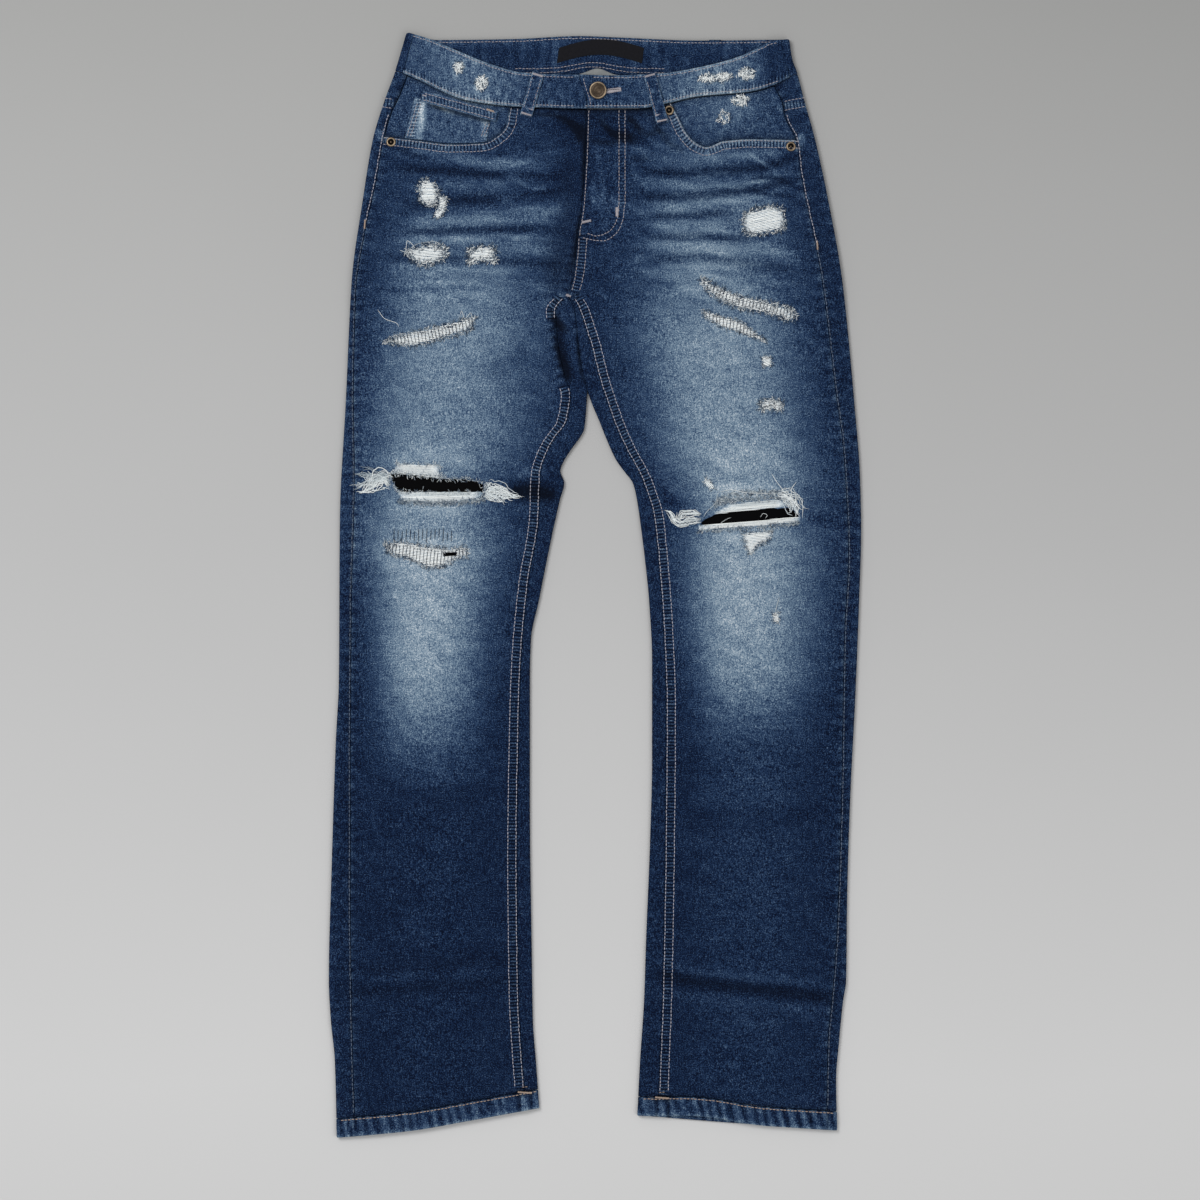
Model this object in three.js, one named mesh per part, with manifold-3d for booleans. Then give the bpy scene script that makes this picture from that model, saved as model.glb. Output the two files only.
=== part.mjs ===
// A pair of men's slim ripped jeans, laid flat on its back: front up, waist towards +Y.
// Millimetres. +Z is up, +X is the wearer's left. The origin is under the middle of the garment,
// on the surface that it lies on.
import * as THREE from 'three';
import { mergeVertices } from 'three/addons/utils/BufferGeometryUtils.js';
import Module from 'manifold-3d';

const wasm = await Module();
wasm.setup();

// ---------------------------------------------------------------- driving dimensions
const DENIM = 1.2; // one layer of cloth
const BAND = 2.4; // waistband and turned hems: two layers
const BACKING = 0.8; // black cloth behind the open knees
const GAP = 0.3; // between pieces that meet
const EDGE_HEIGHT = 4.8; // flattened leg, bottom to top, at its pressed edges
const LEG_PUFF = 1.3; // how much higher the middle of a leg stands
const SEAT_LIFT = 1.5; // the seat lies on its pockets and belt loops
const FLY_RISE = 1.3; // the left front over the right one
const HEM_HEIGHT = 19.5;
const BAND_RISE = 0.8; // waistband above the panel below it
const END_RISE = 2.7; // the buttoned end above its underlap
const MOUTH_REACH = 12; // facing hidden under the pocket mouth
const ZIP_THICK = 0.9; // zip tape with its teeth
const BUTTON_WIDTH = 17;
const RIVET_WIDTH = 9;
const LOOP_WIDTH = 11;
const CROTCH = 288; // where the four leg seams meet
const YOKE_SIDE = 482; // where the yoke seam meets the outseam

const INDIGO = 0x27466f;
const BRASS = 0x8a7350;

// ---------------------------------------------------------------- curves
const smooth = (low, high, at) => {
  const t = Math.min(1, Math.max(0, (at - low) / (high - low)));
  return t * t * (3 - 2 * t);
};

/** A curve through [at, value] points that never overshoots them. */
function through(points) {
  const p = [...points].sort((a, b) => a[0] - b[0]);
  const n = p.length;
  const slope = [];
  for (let i = 0; i < n - 1; i++) slope.push((p[i + 1][1] - p[i][1]) / (p[i + 1][0] - p[i][0]));
  const tangent = p.map((_, i) => {
    if (i === 0) return slope[0];
    if (i === n - 1) return slope[n - 2];
    const [a, b] = [slope[i - 1], slope[i]];
    return a * b <= 0 ? 0 : (2 * a * b) / (a + b);
  });
  return (at) => {
    const i = Math.max(0, Math.min(n - 2, p.findIndex((q) => q[0] > at) - 1));
    const last = at >= p[n - 1][0] ? n - 2 : i;
    const wide = p[last + 1][0] - p[last][0];
    const t = Math.min(1, Math.max(0, (at - p[last][0]) / wide));
    const [t2, t3] = [t * t, t * t * t];
    return (2 * t3 - 3 * t2 + 1) * p[last][1] + (t3 - 2 * t2 + t) * wide * tangent[last]
      + (3 * t2 - 2 * t3) * p[last + 1][1] + (t3 - t2) * wide * tangent[last + 1];
  };
}

// Heights of the rows that both legs' panels are built on, from the thigh to the yoke.
const HIP_ROWS = [170, 191, 215, 244, 265, 279, 285, 288, 292, 305, 335, 370, 405, 440, 465, YOKE_SIDE];

// Each leg's outline and seams, as [y, x]. `inward` points from the outer edge to the other leg.
const LEGS = {
  right: {
    inward: 1,
    low: -552.5,
    outer: through([[552.5, -188], [513.5, -199.5], [485, -210], [445, -222], [385, -232], [305, -243],
      [185, -249], [65, -255], [-95, -256], [-155, -259], [-275, -263], [-394.5, -266], [-434.5, -264],
      [-475, -260], [-552.5, -258]]),
    inner: through([[288, -26.8], [275, -21], [229, -16.4], [192, -8.6], [156, -10.8], [149.5, -14],
      [135.5, -24], [123.5, -31.5], [114.5, -34.6], [102.5, -30.7], [85.5, -35], [45, -44], [-15, -56],
      [-55, -64], [-95, -65], [-215, -65], [-375, -63], [-435, -62], [-475, -59], [-552.5, -53.5]]),
    outseam: through([[508, -188], [490, -195], [468, -205], [450, -210], [405, -218], [350, -230],
      [295, -238.5], [185, -241], [105, -240], [-15, -243], [-175, -244], [-315, -244], [-455, -242],
      [-552.5, -239]]),
    inseam: through([[288, -29.3], [275, -39], [244, -37], [206, -29], [191, -24], [164, -28], [147, -40],
      [132, -48], [112, -54], [65, -56], [8, -65.5], [-32, -70], [-85, -74], [-158, -76], [-265, -77.5],
      [-408, -76], [-478, -72], [-552.5, -65]]),
    hemRise: through([[-266, 0], [-183, 8], [-128, 17.5], [-53, 31]]),
    hemArch: () => 0,
    rows: [-533, -495, -434.5, -415, -394.5, -345, -275, -215, -155, -95, -55, -15, 25, 55.5, 85,
      102.5, 114.5, 124, 135.5, 149.5, ...HIP_ROWS],
  },
  left: {
    inward: -1,
    low: -545,
    outer: through([[545.5, 194], [525, 197], [511.5, 202], [485, 209], [445, 220], [385, 233], [305, 247],
      [185, 259], [105, 265], [55.5, 266], [-15, 264], [-115, 260], [-215, 255], [-315, 252], [-395, 251],
      [-415, 248], [-455, 244], [-495, 241], [-545, 242]]),
    inner: through([[288, -25.2], [275, -19.2], [229, -14.4], [192, -5.8], [165, 4], [145, 12], [125, 21.3],
      [113, 30], [102, 38], [85, 42], [65, 45], [25, 50], [-15, 54], [-75, 57], [-175, 57], [-255, 55],
      [-355, 51], [-415, 49], [-475, 45], [-545, 41.5]]),
    outseam: through([[512, 174], [497, 180], [483, 187], [469, 189.5], [444, 201], [419, 204],
      [393, 208.5], [335, 221], [301, 227], [237, 235], [191, 240.5], [145, 247], [89, 251],
      [33, 253], [-50, 249], [-215, 246], [-335, 242], [-408, 237], [-455, 232.5], [-545, 231]]),
    inseam: through([[288, -22.7], [276, -16], [256, -9.3], [236, -3.2], [206, 4.4], [183, 12], [158, 21],
      [134, 32], [115, 42.7], [99, 49.4], [72, 57.8], [25, 63], [-43, 68], [-122, 70.7], [-265, 69.6],
      [-408, 67], [-478, 64.3], [-545, 62]]),
    hemRise: through([[41, 15.5], [155, 6.5], [250, 0]]),
    hemArch: (x) => 4.5 * Math.sin(Math.PI * Math.min(1, Math.max(0, (x - 38) / 135))) ** 2,
    rows: [-525.5, -485, -435, -415, -395, -345, -275, -215, -155, -95, -50, -15, 25, 55.5, 85, 102,
      113, 125, 137, 150, ...HIP_ROWS],
  },
};

const centreFront = through([[512, -7.5], [438, -9.4], [377, -13.2], [354, -17], [309, -21.6], [292, -26]]);
const centreBack = through([[512, -4], [400, -8], [320, -16], [292, -24]]);

// Across the waist, as [x, y]: the front band's two edges, the back band's, and the yoke seam.
const waistSeam = through([[-200, 514.5], [-174, 503.5], [-153, 493], [-133, 485], [-112, 481],
  [-82, 477.7], [-50, 476.5], [-7, 475.5], [45, 475.5], [73, 481], [101, 487.5], [154, 492.5],
  [178, 499], [202, 511.5]]);
const frontTop = through([[-188, 552.5], [-164, 545], [-143, 536], [-102, 519.5], [-74, 512], [-42, 510],
  [-15, 509.5], [18, 508.5], [63, 510.5], [101, 516.5], [143, 527.5], [164, 537], [178, 543.5],
  [194, 545.5]]);
const backTop = through([[-188, 552.5], [-157, 545], [-82, 546], [-15, 549], [25, 547.5], [105, 544.5],
  [194, 545.5]]);
const backSeam = through([[-200, 513.5], [0, 509], [202, 510.4]]);
const yokeSeam = through([[-214, 482], [-199, YOKE_SIDE], [-100, 464], [-6, 446], [95, 462],
  [187, YOKE_SIDE], [212, 482]]);

// Each pocket mouth, from the rivet at the outseam to the waistband, and each torn knee, as [x, y].
const MOUTHS = {
  right: [[-211, 448.5], [-174, 444], [-143, 440.5], [-113, 441.5], [-97, 449], [-88, 460], [-85, 478]],
  left: [[203, 444.5], [157, 445.5], [129, 443.5], [111, 437.5], [101, 441.5], [91, 451.5], [83, 467],
    [76, 482]],
};
const TORN_KNEES = {
  right: [[-226, 108], [-197, 119.5], [-154, 119.5], [-151, 106.5], [-125, 105.5], [-108, 97.5],
    [-75, 88.5], [-108, 85.5], [-155, 81.5], [-190, 84.5], [-210, 93.5]],
  left: [[103, 54.5], [107, 61.5], [123, 72.5], [136, 82.5], [185, 85.5], [195, 79.5], [204, 67.5],
    [203, 64.5], [155, 58.5]],
};

// The largest folds: troughs from one point to another, each with its depth and half width.
const FOLDS = [
  { from: [-40, 262], to: [-27, 232], depth: 1.4, wide: 8 },
  { from: [-88, 92], to: [-34, 98], depth: 1.3, wide: 9 },
  { from: [50, -388], to: [248, -414], depth: 1.1, wide: 11 },
  { from: [-262, -408], to: [-66, -394], depth: 0.8, wide: 12 },
  { from: [-36, 462], to: [-10, 448], depth: 1.0, wide: 9 },
];

// ---------------------------------------------------------------- the flattened form
const lift = (y) => SEAT_LIFT * smooth(255, 298, y);
const share = (x, low, high) => Math.min(1, Math.max(0, (x - low) / (high - low)));
const arch = (t) => Math.sin(Math.PI * t) ** 0.7;

function foldDepth(x, y) {
  let depth = 0;
  for (const { from, to, depth: most, wide } of FOLDS) {
    const [dx, dy] = [to[0] - from[0], to[1] - from[1]];
    const t = share((x - from[0]) * dx + (y - from[1]) * dy, 0, dx * dx + dy * dy);
    const away = Math.hypot(x - from[0] - t * dx, y - from[1] - t * dy);
    depth += most * Math.exp(-((away / wide) ** 2));
  }
  return depth;
}

/** How high the outside of the upper layer lies, leaving out the fly. */
function clothAt(x, y) {
  const leg = x < centreFront(y) ? LEGS.right : LEGS.left;
  const legShare = share(x * leg.inward, leg.outer(y) * leg.inward, leg.inner(y) * leg.inward);
  const trunkShare = share(x, LEGS.right.outer(y), LEGS.left.outer(y));
  const trunk = smooth(190, 330, y);
  const puff = arch(legShare) * (1 - trunk) + arch(trunkShare) * trunk;
  return lift(y) + EDGE_HEIGHT + LEG_PUFF * puff - foldDepth(x, y);
}

/** The same with the left front, which stands higher along the fly. */
function topAt(x, y) {
  const overlap = FLY_RISE * (1 - smooth(35, 60, x)) * smooth(290, 350, y);
  return clothAt(x, y) + (x > centreFront(y) && y > CROTCH ? overlap : 0);
}
const bandTopAt = (x, y) => clothAt(x, Math.min(y, 470)) + BAND_RISE;

/** The true height of a point on row `row` of a leg: rows tilt with the hem below the shin. */
function rowY(leg, row, x, layer) {
  const low = 1 - smooth(leg.low + HEM_HEIGHT, -300, row);
  return row + low * (leg.hemRise(x) + (layer === 'top' ? leg.hemArch(x) : 0));
}

/** A point across a leg on a row, at a share of the way between two of its lines. */
function across(leg, row, from, to, part, layer = 'top', bend = rowY) {
  let [x, y] = [0, row];
  for (let i = 0; i < 5; i++) {
    x = from(y) + (to(y) - from(y)) * part;
    y = bend(leg, row, x, layer);
  }
  return [x, y];
}

// ---------------------------------------------------------------- solids
/** A closed cloth wall from rows of outer points and rows of inner points. */
function wall(outer, inner, closed = false) {
  const [rows, columns] = [outer.length, outer[0].length];
  const points = [...outer.flat(), ...inner.flat()];
  const at = (side, i, j) => side * rows * columns + i * columns + (j % columns);
  const faces = [];
  const quad = (a, b, c, d) => faces.push([a, b, c], [a, c, d]);
  const spans = closed ? columns : columns - 1;
  for (let i = 0; i < rows - 1; i++) {
    for (let j = 0; j < spans; j++) {
      quad(at(0, i, j), at(0, i, j + 1), at(0, i + 1, j + 1), at(0, i + 1, j));
      quad(at(1, i, j), at(1, i + 1, j), at(1, i + 1, j + 1), at(1, i, j + 1));
    }
  }
  for (let j = 0; j < spans; j++) {
    quad(at(0, 0, j), at(1, 0, j), at(1, 0, j + 1), at(0, 0, j + 1));
    quad(at(0, rows - 1, j), at(0, rows - 1, j + 1), at(1, rows - 1, j + 1), at(1, rows - 1, j));
  }
  if (!closed) {
    for (let i = 0; i < rows - 1; i++) {
      quad(at(0, i, 0), at(0, i + 1, 0), at(1, i + 1, 0), at(1, i, 0));
      quad(at(0, i, columns - 1), at(1, i, columns - 1), at(1, i + 1, columns - 1),
        at(0, i + 1, columns - 1));
    }
  }
  return closedSolid(points, faces);
}

/** A manifold solid from points and triangles, turned to face outwards. */
function closedSolid(points, faces) {
  const geometry = new THREE.BufferGeometry();
  geometry.setAttribute('position', new THREE.BufferAttribute(new Float32Array(points.flat()), 3));
  geometry.setIndex(faces.flat());
  return solidOf(geometry);
}

/** A manifold solid from any closed three.js geometry. */
function solidOf(geometry) {
  const bare = geometry.clone();
  bare.deleteAttribute('normal');
  bare.deleteAttribute('uv');
  const merged = mergeVertices(bare, 1e-3);
  const kept = [];
  const index = merged.index.array;
  let volume = 0;
  const p = merged.attributes.position;
  const [a, b, c] = [new THREE.Vector3(), new THREE.Vector3(), new THREE.Vector3()];
  for (let i = 0; i < index.length; i += 3) {
    const [u, v, w] = [index[i], index[i + 1], index[i + 2]];
    if (u === v || v === w || w === u) continue;
    kept.push([u, v, w]);
    volume += a.fromBufferAttribute(p, u).dot(b.fromBufferAttribute(p, v)
      .cross(c.fromBufferAttribute(p, w)));
  }
  const triangles = volume > 0 ? kept : kept.map(([u, v, w]) => [u, w, v]);
  const mesh = { numProp: 3, vertProperties: p.array, triVerts: new Uint32Array(triangles.flat()) };
  return new wasm.Manifold(new wasm.Mesh(mesh));
}

/** Everything within an [x, y] outline, from a height up. */
function prism(outline, low = -20) {
  const shape = new THREE.Shape(outline.map(([x, y]) => new THREE.Vector2(x, y)));
  const geometry = new THREE.ExtrudeGeometry(shape, { depth: 60, bevelEnabled: false });
  return solidOf(geometry.translate(0, 0, low));
}

/** A sheet lying on a height, over a grid of [x, y] points. */
function lying(grid, height, thick) {
  const lay = (drop) => grid.map((row) => row.map(([x, y]) => [x, y, height(x, y) - drop]));
  return wall(lay(0), lay(thick));
}

const steps = (count) => Array.from({ length: count + 1 }, (_, i) => i / count);

const jeans = new THREE.Group();

/** Adds a piece to the garment as a named mesh. */
function piece(name, solid, colour = INDIGO, roughness = 0.9, metalness = 0) {
  const { vertProperties, triVerts } = solid.getMesh();
  const geometry = new THREE.BufferGeometry();
  geometry.setAttribute('position', new THREE.BufferAttribute(new Float32Array(vertProperties), 3));
  geometry.setIndex(new THREE.BufferAttribute(new Uint32Array(triVerts), 1));
  geometry.computeVertexNormals();
  const material = new THREE.MeshStandardMaterial({ color: colour, roughness, metalness });
  const mesh = new THREE.Mesh(geometry, material);
  mesh.name = name;
  jeans.add(mesh);
}

// ---------------------------------------------------------------- legs
/** A back piece's section at one row: over the outer edge, along the floor, and up the inner edge. */
function wrapSection(leg, row, thick, height, turn, inset, bend = rowY) {
  const d = leg.inward;
  const place = (part, from, to, layer) => across(leg, row, from, to, part, layer, bend);
  const [, edgeY] = place(0, leg.outer, leg.inner, 'top');
  const radius = (height(leg.outer(edgeY), edgeY) - lift(edgeY)) / 2;
  const outer = [];
  const inner = [];
  const add = ([x, y], zOut, zIn) => {
    outer.push([x, y, zOut]);
    inner.push([x, y, zIn]);
  };
  const start = (y) => leg.outseam(y) - d * inset(y);
  const shoulder = (y) => leg.outer(y) + d * radius;
  for (const part of steps(2)) {
    const [x, y] = place(part, start, shoulder, 'top');
    add([x, y], height(x, y), height(x, y) - thick);
  }
  const arc = (centreX, angle, away, y) => {
    const [s, c] = [Math.sin(angle), Math.cos(angle)];
    const z = lift(y) + radius;
    outer.push([centreX + away * s * radius, y, z + c * radius]);
    inner.push([centreX + away * s * (radius - thick), y, z + c * (radius - thick)]);
  };
  const [shoulderX, shoulderY] = place(1, start, shoulder, 'top');
  const lowY = place(1, start, shoulder, 'bottom')[1];
  for (const part of steps(4).slice(1)) {
    arc(shoulderX, Math.PI * part, -d, shoulderY + (lowY - shoulderY) * part);
  }
  const meets = turn > 0 ? (y) => leg.inner(y) - d * radius : (y) => centreBack(y) - (d * GAP) / 2;
  for (const part of steps(3).slice(1)) {
    const [x, y] = place(part, shoulder, meets, 'bottom');
    add([x, y], lift(y), lift(y) + thick);
  }
  const [heelX, heelY] = place(1, shoulder, meets, 'bottom');
  const highY = bend(leg, row, heelX, 'top');
  for (const part of steps(4).slice(1)) {
    arc(heelX, Math.PI * (1 - part * turn), d, heelY + (highY - heelY) * part * turn);
  }
  const seam = (y) => {
    const back = leg.inner(y) - d * radius;
    const line = leg.inseam(y) + d * (GAP / 2 + 0.4 * smooth(265, 285, y));
    return d * (back - line) > 0 ? line : back;
  };
  for (const part of steps(2).slice(1)) {
    if (turn === 1) {
      const [x, y] = place(part, (v) => leg.inner(v) - d * radius, seam, 'top');
      add([x, y], height(x, y), height(x, y) - thick);
    } else {
      outer.push(outer.at(-1));
      inner.push(inner.at(-1));
    }
  }
  return { outer, inner };
}

/** How much of the way up its inner edge a back panel turns: all of it below the crotch. */
const turnAt = (row) => (row < CROTCH ? 1 : row < 300 ? 0.3 : 0);

function wrapped(leg, rows, thick, height, turnOf, inset, bend) {
  const sections = rows.map((row) => wrapSection(leg, row, thick, height, turnOf(row), inset, bend));
  return wall(sections.map((s) => s.outer), sections.map((s) => s.inner));
}

/** The front waistband's place, from a height up. */
function waistCut(side, low) {
  const { inward } = LEGS[side];
  const seam = steps(24).map((t) => {
    const x = -inward * 225 * (1 - t) + inward * 10 * t;
    return [x, waistSeam(x) - GAP];
  });
  return prism([...seam, [inward * 10, 600], [-inward * 225, 600]], low);
}

/** A pocket's opening in a front panel. */
function mouthCut(side) {
  const mouth = MOUTHS[side];
  const beyond = -LEGS[side].inward * 245;
  return prism([...mouth, [mouth.at(-1)[0], 560], [beyond, 560], [beyond, mouth[0][1]]]);
}

for (const side of ['right', 'left']) {
  const leg = LEGS[side];
  const d = leg.inward;

  // Front leg panel, open at the knee.
  const seamGap = (y) => GAP / 2 + 0.25 * smooth(340, 380, y);
  const from = (y) => leg.outseam(y) + d * seamGap(y);
  const to = (y) => (y > 290 ? centreFront(y) - (d * GAP) / 2 : leg.inseam(y) - (d * GAP) / 2);
  const rows = [...leg.rows, 497, 520];
  const grid = rows.map((row) => steps(7).map((part) => across(leg, row, from, to, part)));
  const knee = prism(TORN_KNEES[side]);
  const cuts = waistCut(side, -20).add(mouthCut(side)).add(knee);
  piece(`front_${side}`, lying(grid, topAt, DENIM).subtract(cuts));

  // Back leg panel, folded round both edges on to the front.
  const toYoke = (l, row, x, layer) => {
    const high = share(row, 370, YOKE_SIDE);
    return rowY(l, row, x, layer) + high * (yokeSeam(x) - GAP / 2 - YOKE_SIDE);
  };
  piece(`back_${side}`, wrapped(leg, leg.rows, DENIM, topAt, turnAt, seamGap, toYoke));

  // Yoke, between the back panel and the waistband.
  const yokeY = (l, row, x) => yokeSeam(x) + GAP / 2 + (backSeam(x) - GAP - yokeSeam(x)) * row;
  const yoke = wrapped(leg, [0, 0.5, 1], DENIM, topAt, () => 0, () => 0.4, yokeY);
  piece(`yoke_${side}`, yoke.subtract(waistCut(side, 3)));

  // Turned hem: a closed ring of double cloth.
  const hemRows = [leg.low, leg.low + HEM_HEIGHT - 2 * GAP];
  const hemHeight = (x, y) => topAt(x, Math.max(y, leg.low + 12)) + 0.4;
  const ring = hemRows.map((row) => {
    const outer = [];
    const inner = [];
    const put = (x, y, z, nx, nz) => {
      outer.push([x, y, z]);
      inner.push([x - nx * BAND, y, z - nz * BAND]);
    };
    const y0 = across(leg, row, leg.outer, leg.inner, 0)[1];
    const radius = hemHeight(leg.outer(y0), y0) / 2;
    const low = (y) => leg.outer(y) + d * radius;
    const high = (y) => leg.inner(y) - d * radius;
    for (const part of steps(8)) {
      const [x, y] = across(leg, row, low, high, part);
      put(x, y, part === 0 || part === 1 ? 2 * radius : hemHeight(x, y), 0, 1);
    }
    const turnRound = (layer, sign, part) => {
      const [x, y] = across(leg, row, low, high, sign > 0 ? 1 : 0, layer);
      const angle = Math.PI * part;
      put(x + sign * d * Math.sin(angle) * radius, y, radius + Math.cos(angle) * radius,
        sign * d * Math.sin(angle), Math.cos(angle));
    };
    for (const part of [0.25, 0.5, 0.75]) turnRound('bottom', 1, part);
    for (const part of steps(8)) {
      const [x, y] = across(leg, row, high, low, part, 'bottom');
      put(x, y, 0, 0, -1);
    }
    for (const part of [0.75, 0.5, 0.25]) turnRound('bottom', -1, part);
    return { outer, inner };
  });
  piece(`hem_${side}`, wall(ring.map((r) => r.outer), ring.map((r) => r.inner), true));

  // Black backing behind the knee.
  const torn = TORN_KNEES[side];
  const xs = torn.map((p) => p[0]);
  const [low, high] = [Math.min(...xs) - 4, Math.max(...xs) + 8];
  const yMiddle = (torn[0][1] + torn[4][1]) / 2;
  const patch = steps(5).map((v) => steps(5).map((u) => [low + (high - low) * u, yMiddle - 74 + 108 * v]));
  piece(`knee_backing_${side}`, lying(patch, (x, y) => topAt(x, y) - DENIM - 0.6, BACKING), 0x0b0b0d);

  // Denim facing behind the pocket mouth.
  const mouth = MOUTHS[side];
  const lip = through(mouth.slice(0, -1).map(([x, y]) => [x * d, y]));
  const facing = steps(3).map((v) => steps(8).map((u) => {
    let [x, y] = [0, 480];
    for (let i = 0; i < 5; i++) {
      const seam = leg.outseam(y) + d * 0.6;
      x = seam + (mouth.at(-1)[0] + d * MOUTH_REACH - seam) * u;
      const bottom = lip(x * d) - MOUTH_REACH;
      y = bottom + (waistSeam(x) - 1 - bottom) * v;
    }
    return [x, y];
  }));
  piece(`pocket_facing_${side}`, lying(facing, (x, y) => topAt(x, y) - DENIM - 0.35, DENIM));

  // Back pocket, between the seat and the floor.
  const [pocketX, halfTop, halfLow] = [-d * 98, 76, 68];
  const pocket = [[-halfTop, 446], [halfTop, 446], [halfLow, 335], [0, 308], [-halfLow, 335]];
  const flat = new THREE.Shape(pocket.map(([x, y]) => new THREE.Vector2(pocketX + x, y - 6)));
  piece(`back_pocket_${side}`,
    solidOf(new THREE.ExtrudeGeometry(flat, { depth: SEAT_LIFT - GAP, bevelEnabled: false })));
}

// ---------------------------------------------------------------- coin pocket
const coinTop = through([[-184, 482], [-174, 492], [-140, 485], [-99.5, 477.5]]);
const coinGrid = steps(2).map((v) => steps(6).map((u) => {
  const x = -191 + 2 * v + (-108.5 + 9 * v + 191 - 2 * v) * u;
  const lip = through(MOUTHS.right.slice(0, -1));
  const bottom = lip(x) + 1.2;
  return [x, bottom + (Math.min(coinTop(x), waistSeam(x) - 4) - bottom) * v];
}));
piece('coin_pocket', lying(coinGrid, (x, y) => topAt(x, y) - 0.05, DENIM));

// ---------------------------------------------------------------- fly
const flyRows = [476, 455, 430, 405, 380, 362, 350];
const facingHalf = through([[476, 40], [380, 40], [362, 34], [350, 22]]);
const under = (drop) => (x, y) => topAt(Math.max(x, centreFront(y) + 1), y) - drop;
const flyGrid = (rows, from, to) => rows.map((y) => steps(3).map((u) => {
  const edge = centreFront(y);
  return [edge + from + (to(y) - from) * u, y - 1];
}));
piece('fly_facing', lying(flyGrid(flyRows, 1, facingHalf), under(DENIM + 0.35), DENIM));
const zipGrid = flyGrid(flyRows.slice(0, 5), 4, () => 32);
piece('zip', lying(zipGrid, under(2 * DENIM + 0.65), ZIP_THICK), 0x6d6353, 0.5, 0.6);
const shieldGrid = flyGrid(flyRows.slice(0, 6), 1, () => 38);
piece('fly_shield', lying(shieldGrid, under(2 * DENIM + 0.95 + ZIP_THICK), 1));

// ---------------------------------------------------------------- waistband
const bandY = (bottom, top) => (_, row, x) => bottom(x) + GAP / 2 + (top(x) - bottom(x) - GAP / 2) * row;

/** One front half of the band, as a grid between its seam and its top edge, which may peak. */
function bandGrid(from, to, columns = 14, peak = 0) {
  const top = (x) => frontTop(x) + peak * Math.exp(-(((x - 3) / 13) ** 2));
  return steps(2).map((v) => steps(columns).map((u) => {
    let [x, y] = [0, 0];
    for (let i = 0; i < 4; i++) {
      x = from(y) + (to(y) - from(y)) * u;
      y = waistSeam(x) + GAP / 2 + (top(x) - waistSeam(x) - GAP / 2) * v;
    }
    return [x, y];
  }));
}
const bandEnd = (y) => -7.5 - 8 * smooth(478, 510, y); // the buttoned end's slanting edge
const sideOf = (leg) => (y) => leg.outer(y) + leg.inward * (8 + GAP);
const endRise = (x) => END_RISE * (1 - smooth(48, 80, x));
const rightBand = bandGrid(sideOf(LEGS.right), (y) => bandEnd(y) - GAP);
piece('waistband_front_right', lying(rightBand, bandTopAt, BAND));
piece('waistband_front_left', lying(bandGrid(sideOf(LEGS.left), bandEnd),
  (x, y) => bandTopAt(x, y) + endRise(x), BAND));
const underlap = bandGrid((y) => bandEnd(y) + GAP, () => 44, 6, 7);
piece('waistband_underlap', lying(underlap, bandTopAt, BAND), 0xa9adae);

/** The back band, from one front end round both sides to the other. */
function backBand() {
  const sections = steps(2).map((row) => {
    const outer = [];
    const inner = [];
    const half = (leg) => {
      const s = wrapSection(leg, row, BAND, bandTopAt, 0, (y) => leg.inward * (leg.outseam(y)
        - leg.outer(y)) - 8, (l, r, x, layer) => (layer === 'top'
        ? bandY(waistSeam, frontTop) : bandY(backSeam, backTop))(l, r, x));
      const kept = s.outer.length - 6; // without the section's unused inner turn
      return { outer: s.outer.slice(0, kept), inner: s.inner.slice(0, kept) };
    };
    const [a, b] = [half(LEGS.right), half(LEGS.left)];
    outer.push(...a.outer.slice(0, -1), ...b.outer.slice(0, -1).reverse());
    inner.push(...a.inner.slice(0, -1), ...b.inner.slice(0, -1).reverse());
    return { outer, inner };
  });
  return wall(sections.map((s) => s.outer), sections.map((s) => s.inner));
}
piece('waistband_back', backBand());

// Plain woven label inside the back band, in two slopes.
const labelGrid = [[-37, 522], [-4, 531], [20, 529], [48, 519]].map(([x, y]) => [[x, y], [x + 2, y + 15]]);
piece('waist_label', lying(labelGrid, () => SEAT_LIFT + BAND + GAP + 0.8, 0.8), 0x101012, 0.7);

// ---------------------------------------------------------------- belt loops
/** A loop over the front band: a strip on top, turned under at both ends. */
function frontLoop(name, top, bottom, height) {
  const lean = new THREE.Vector2(...top).sub(new THREE.Vector2(...bottom));
  const sideways = new THREE.Vector2(lean.y, -lean.x).normalize().multiplyScalar(LOOP_WIDTH / 2);
  const grid = steps(6).map((v) => [-1, 1].map((s) => [bottom[0] + lean.x * v + s * sideways.x,
    bottom[1] + lean.y * v + s * sideways.y]));
  piece(name, lying(grid, height, 1.6));
}
const overBand = (x, y) => bandTopAt(x, y) + GAP + 1.6 + (x > 0 ? 0.3 + endRise(x) : 0.3);
frontLoop('belt_loop_front_right', [-56.5, 509], [-68, 469.5], overBand);
frontLoop('belt_loop_front_left', [51, 509.5], [66, 465], overBand);
const backLoops = { belt_loop_back_right: -128, belt_loop_back: -4, belt_loop_back_left: 120 };
for (const [name, x] of Object.entries(backLoops)) {
  const strip = new THREE.BoxGeometry(LOOP_WIDTH, 44, SEAT_LIFT - GAP);
  piece(name, solidOf(strip.translate(x, 524, (SEAT_LIFT - GAP) / 2)));
}

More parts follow.
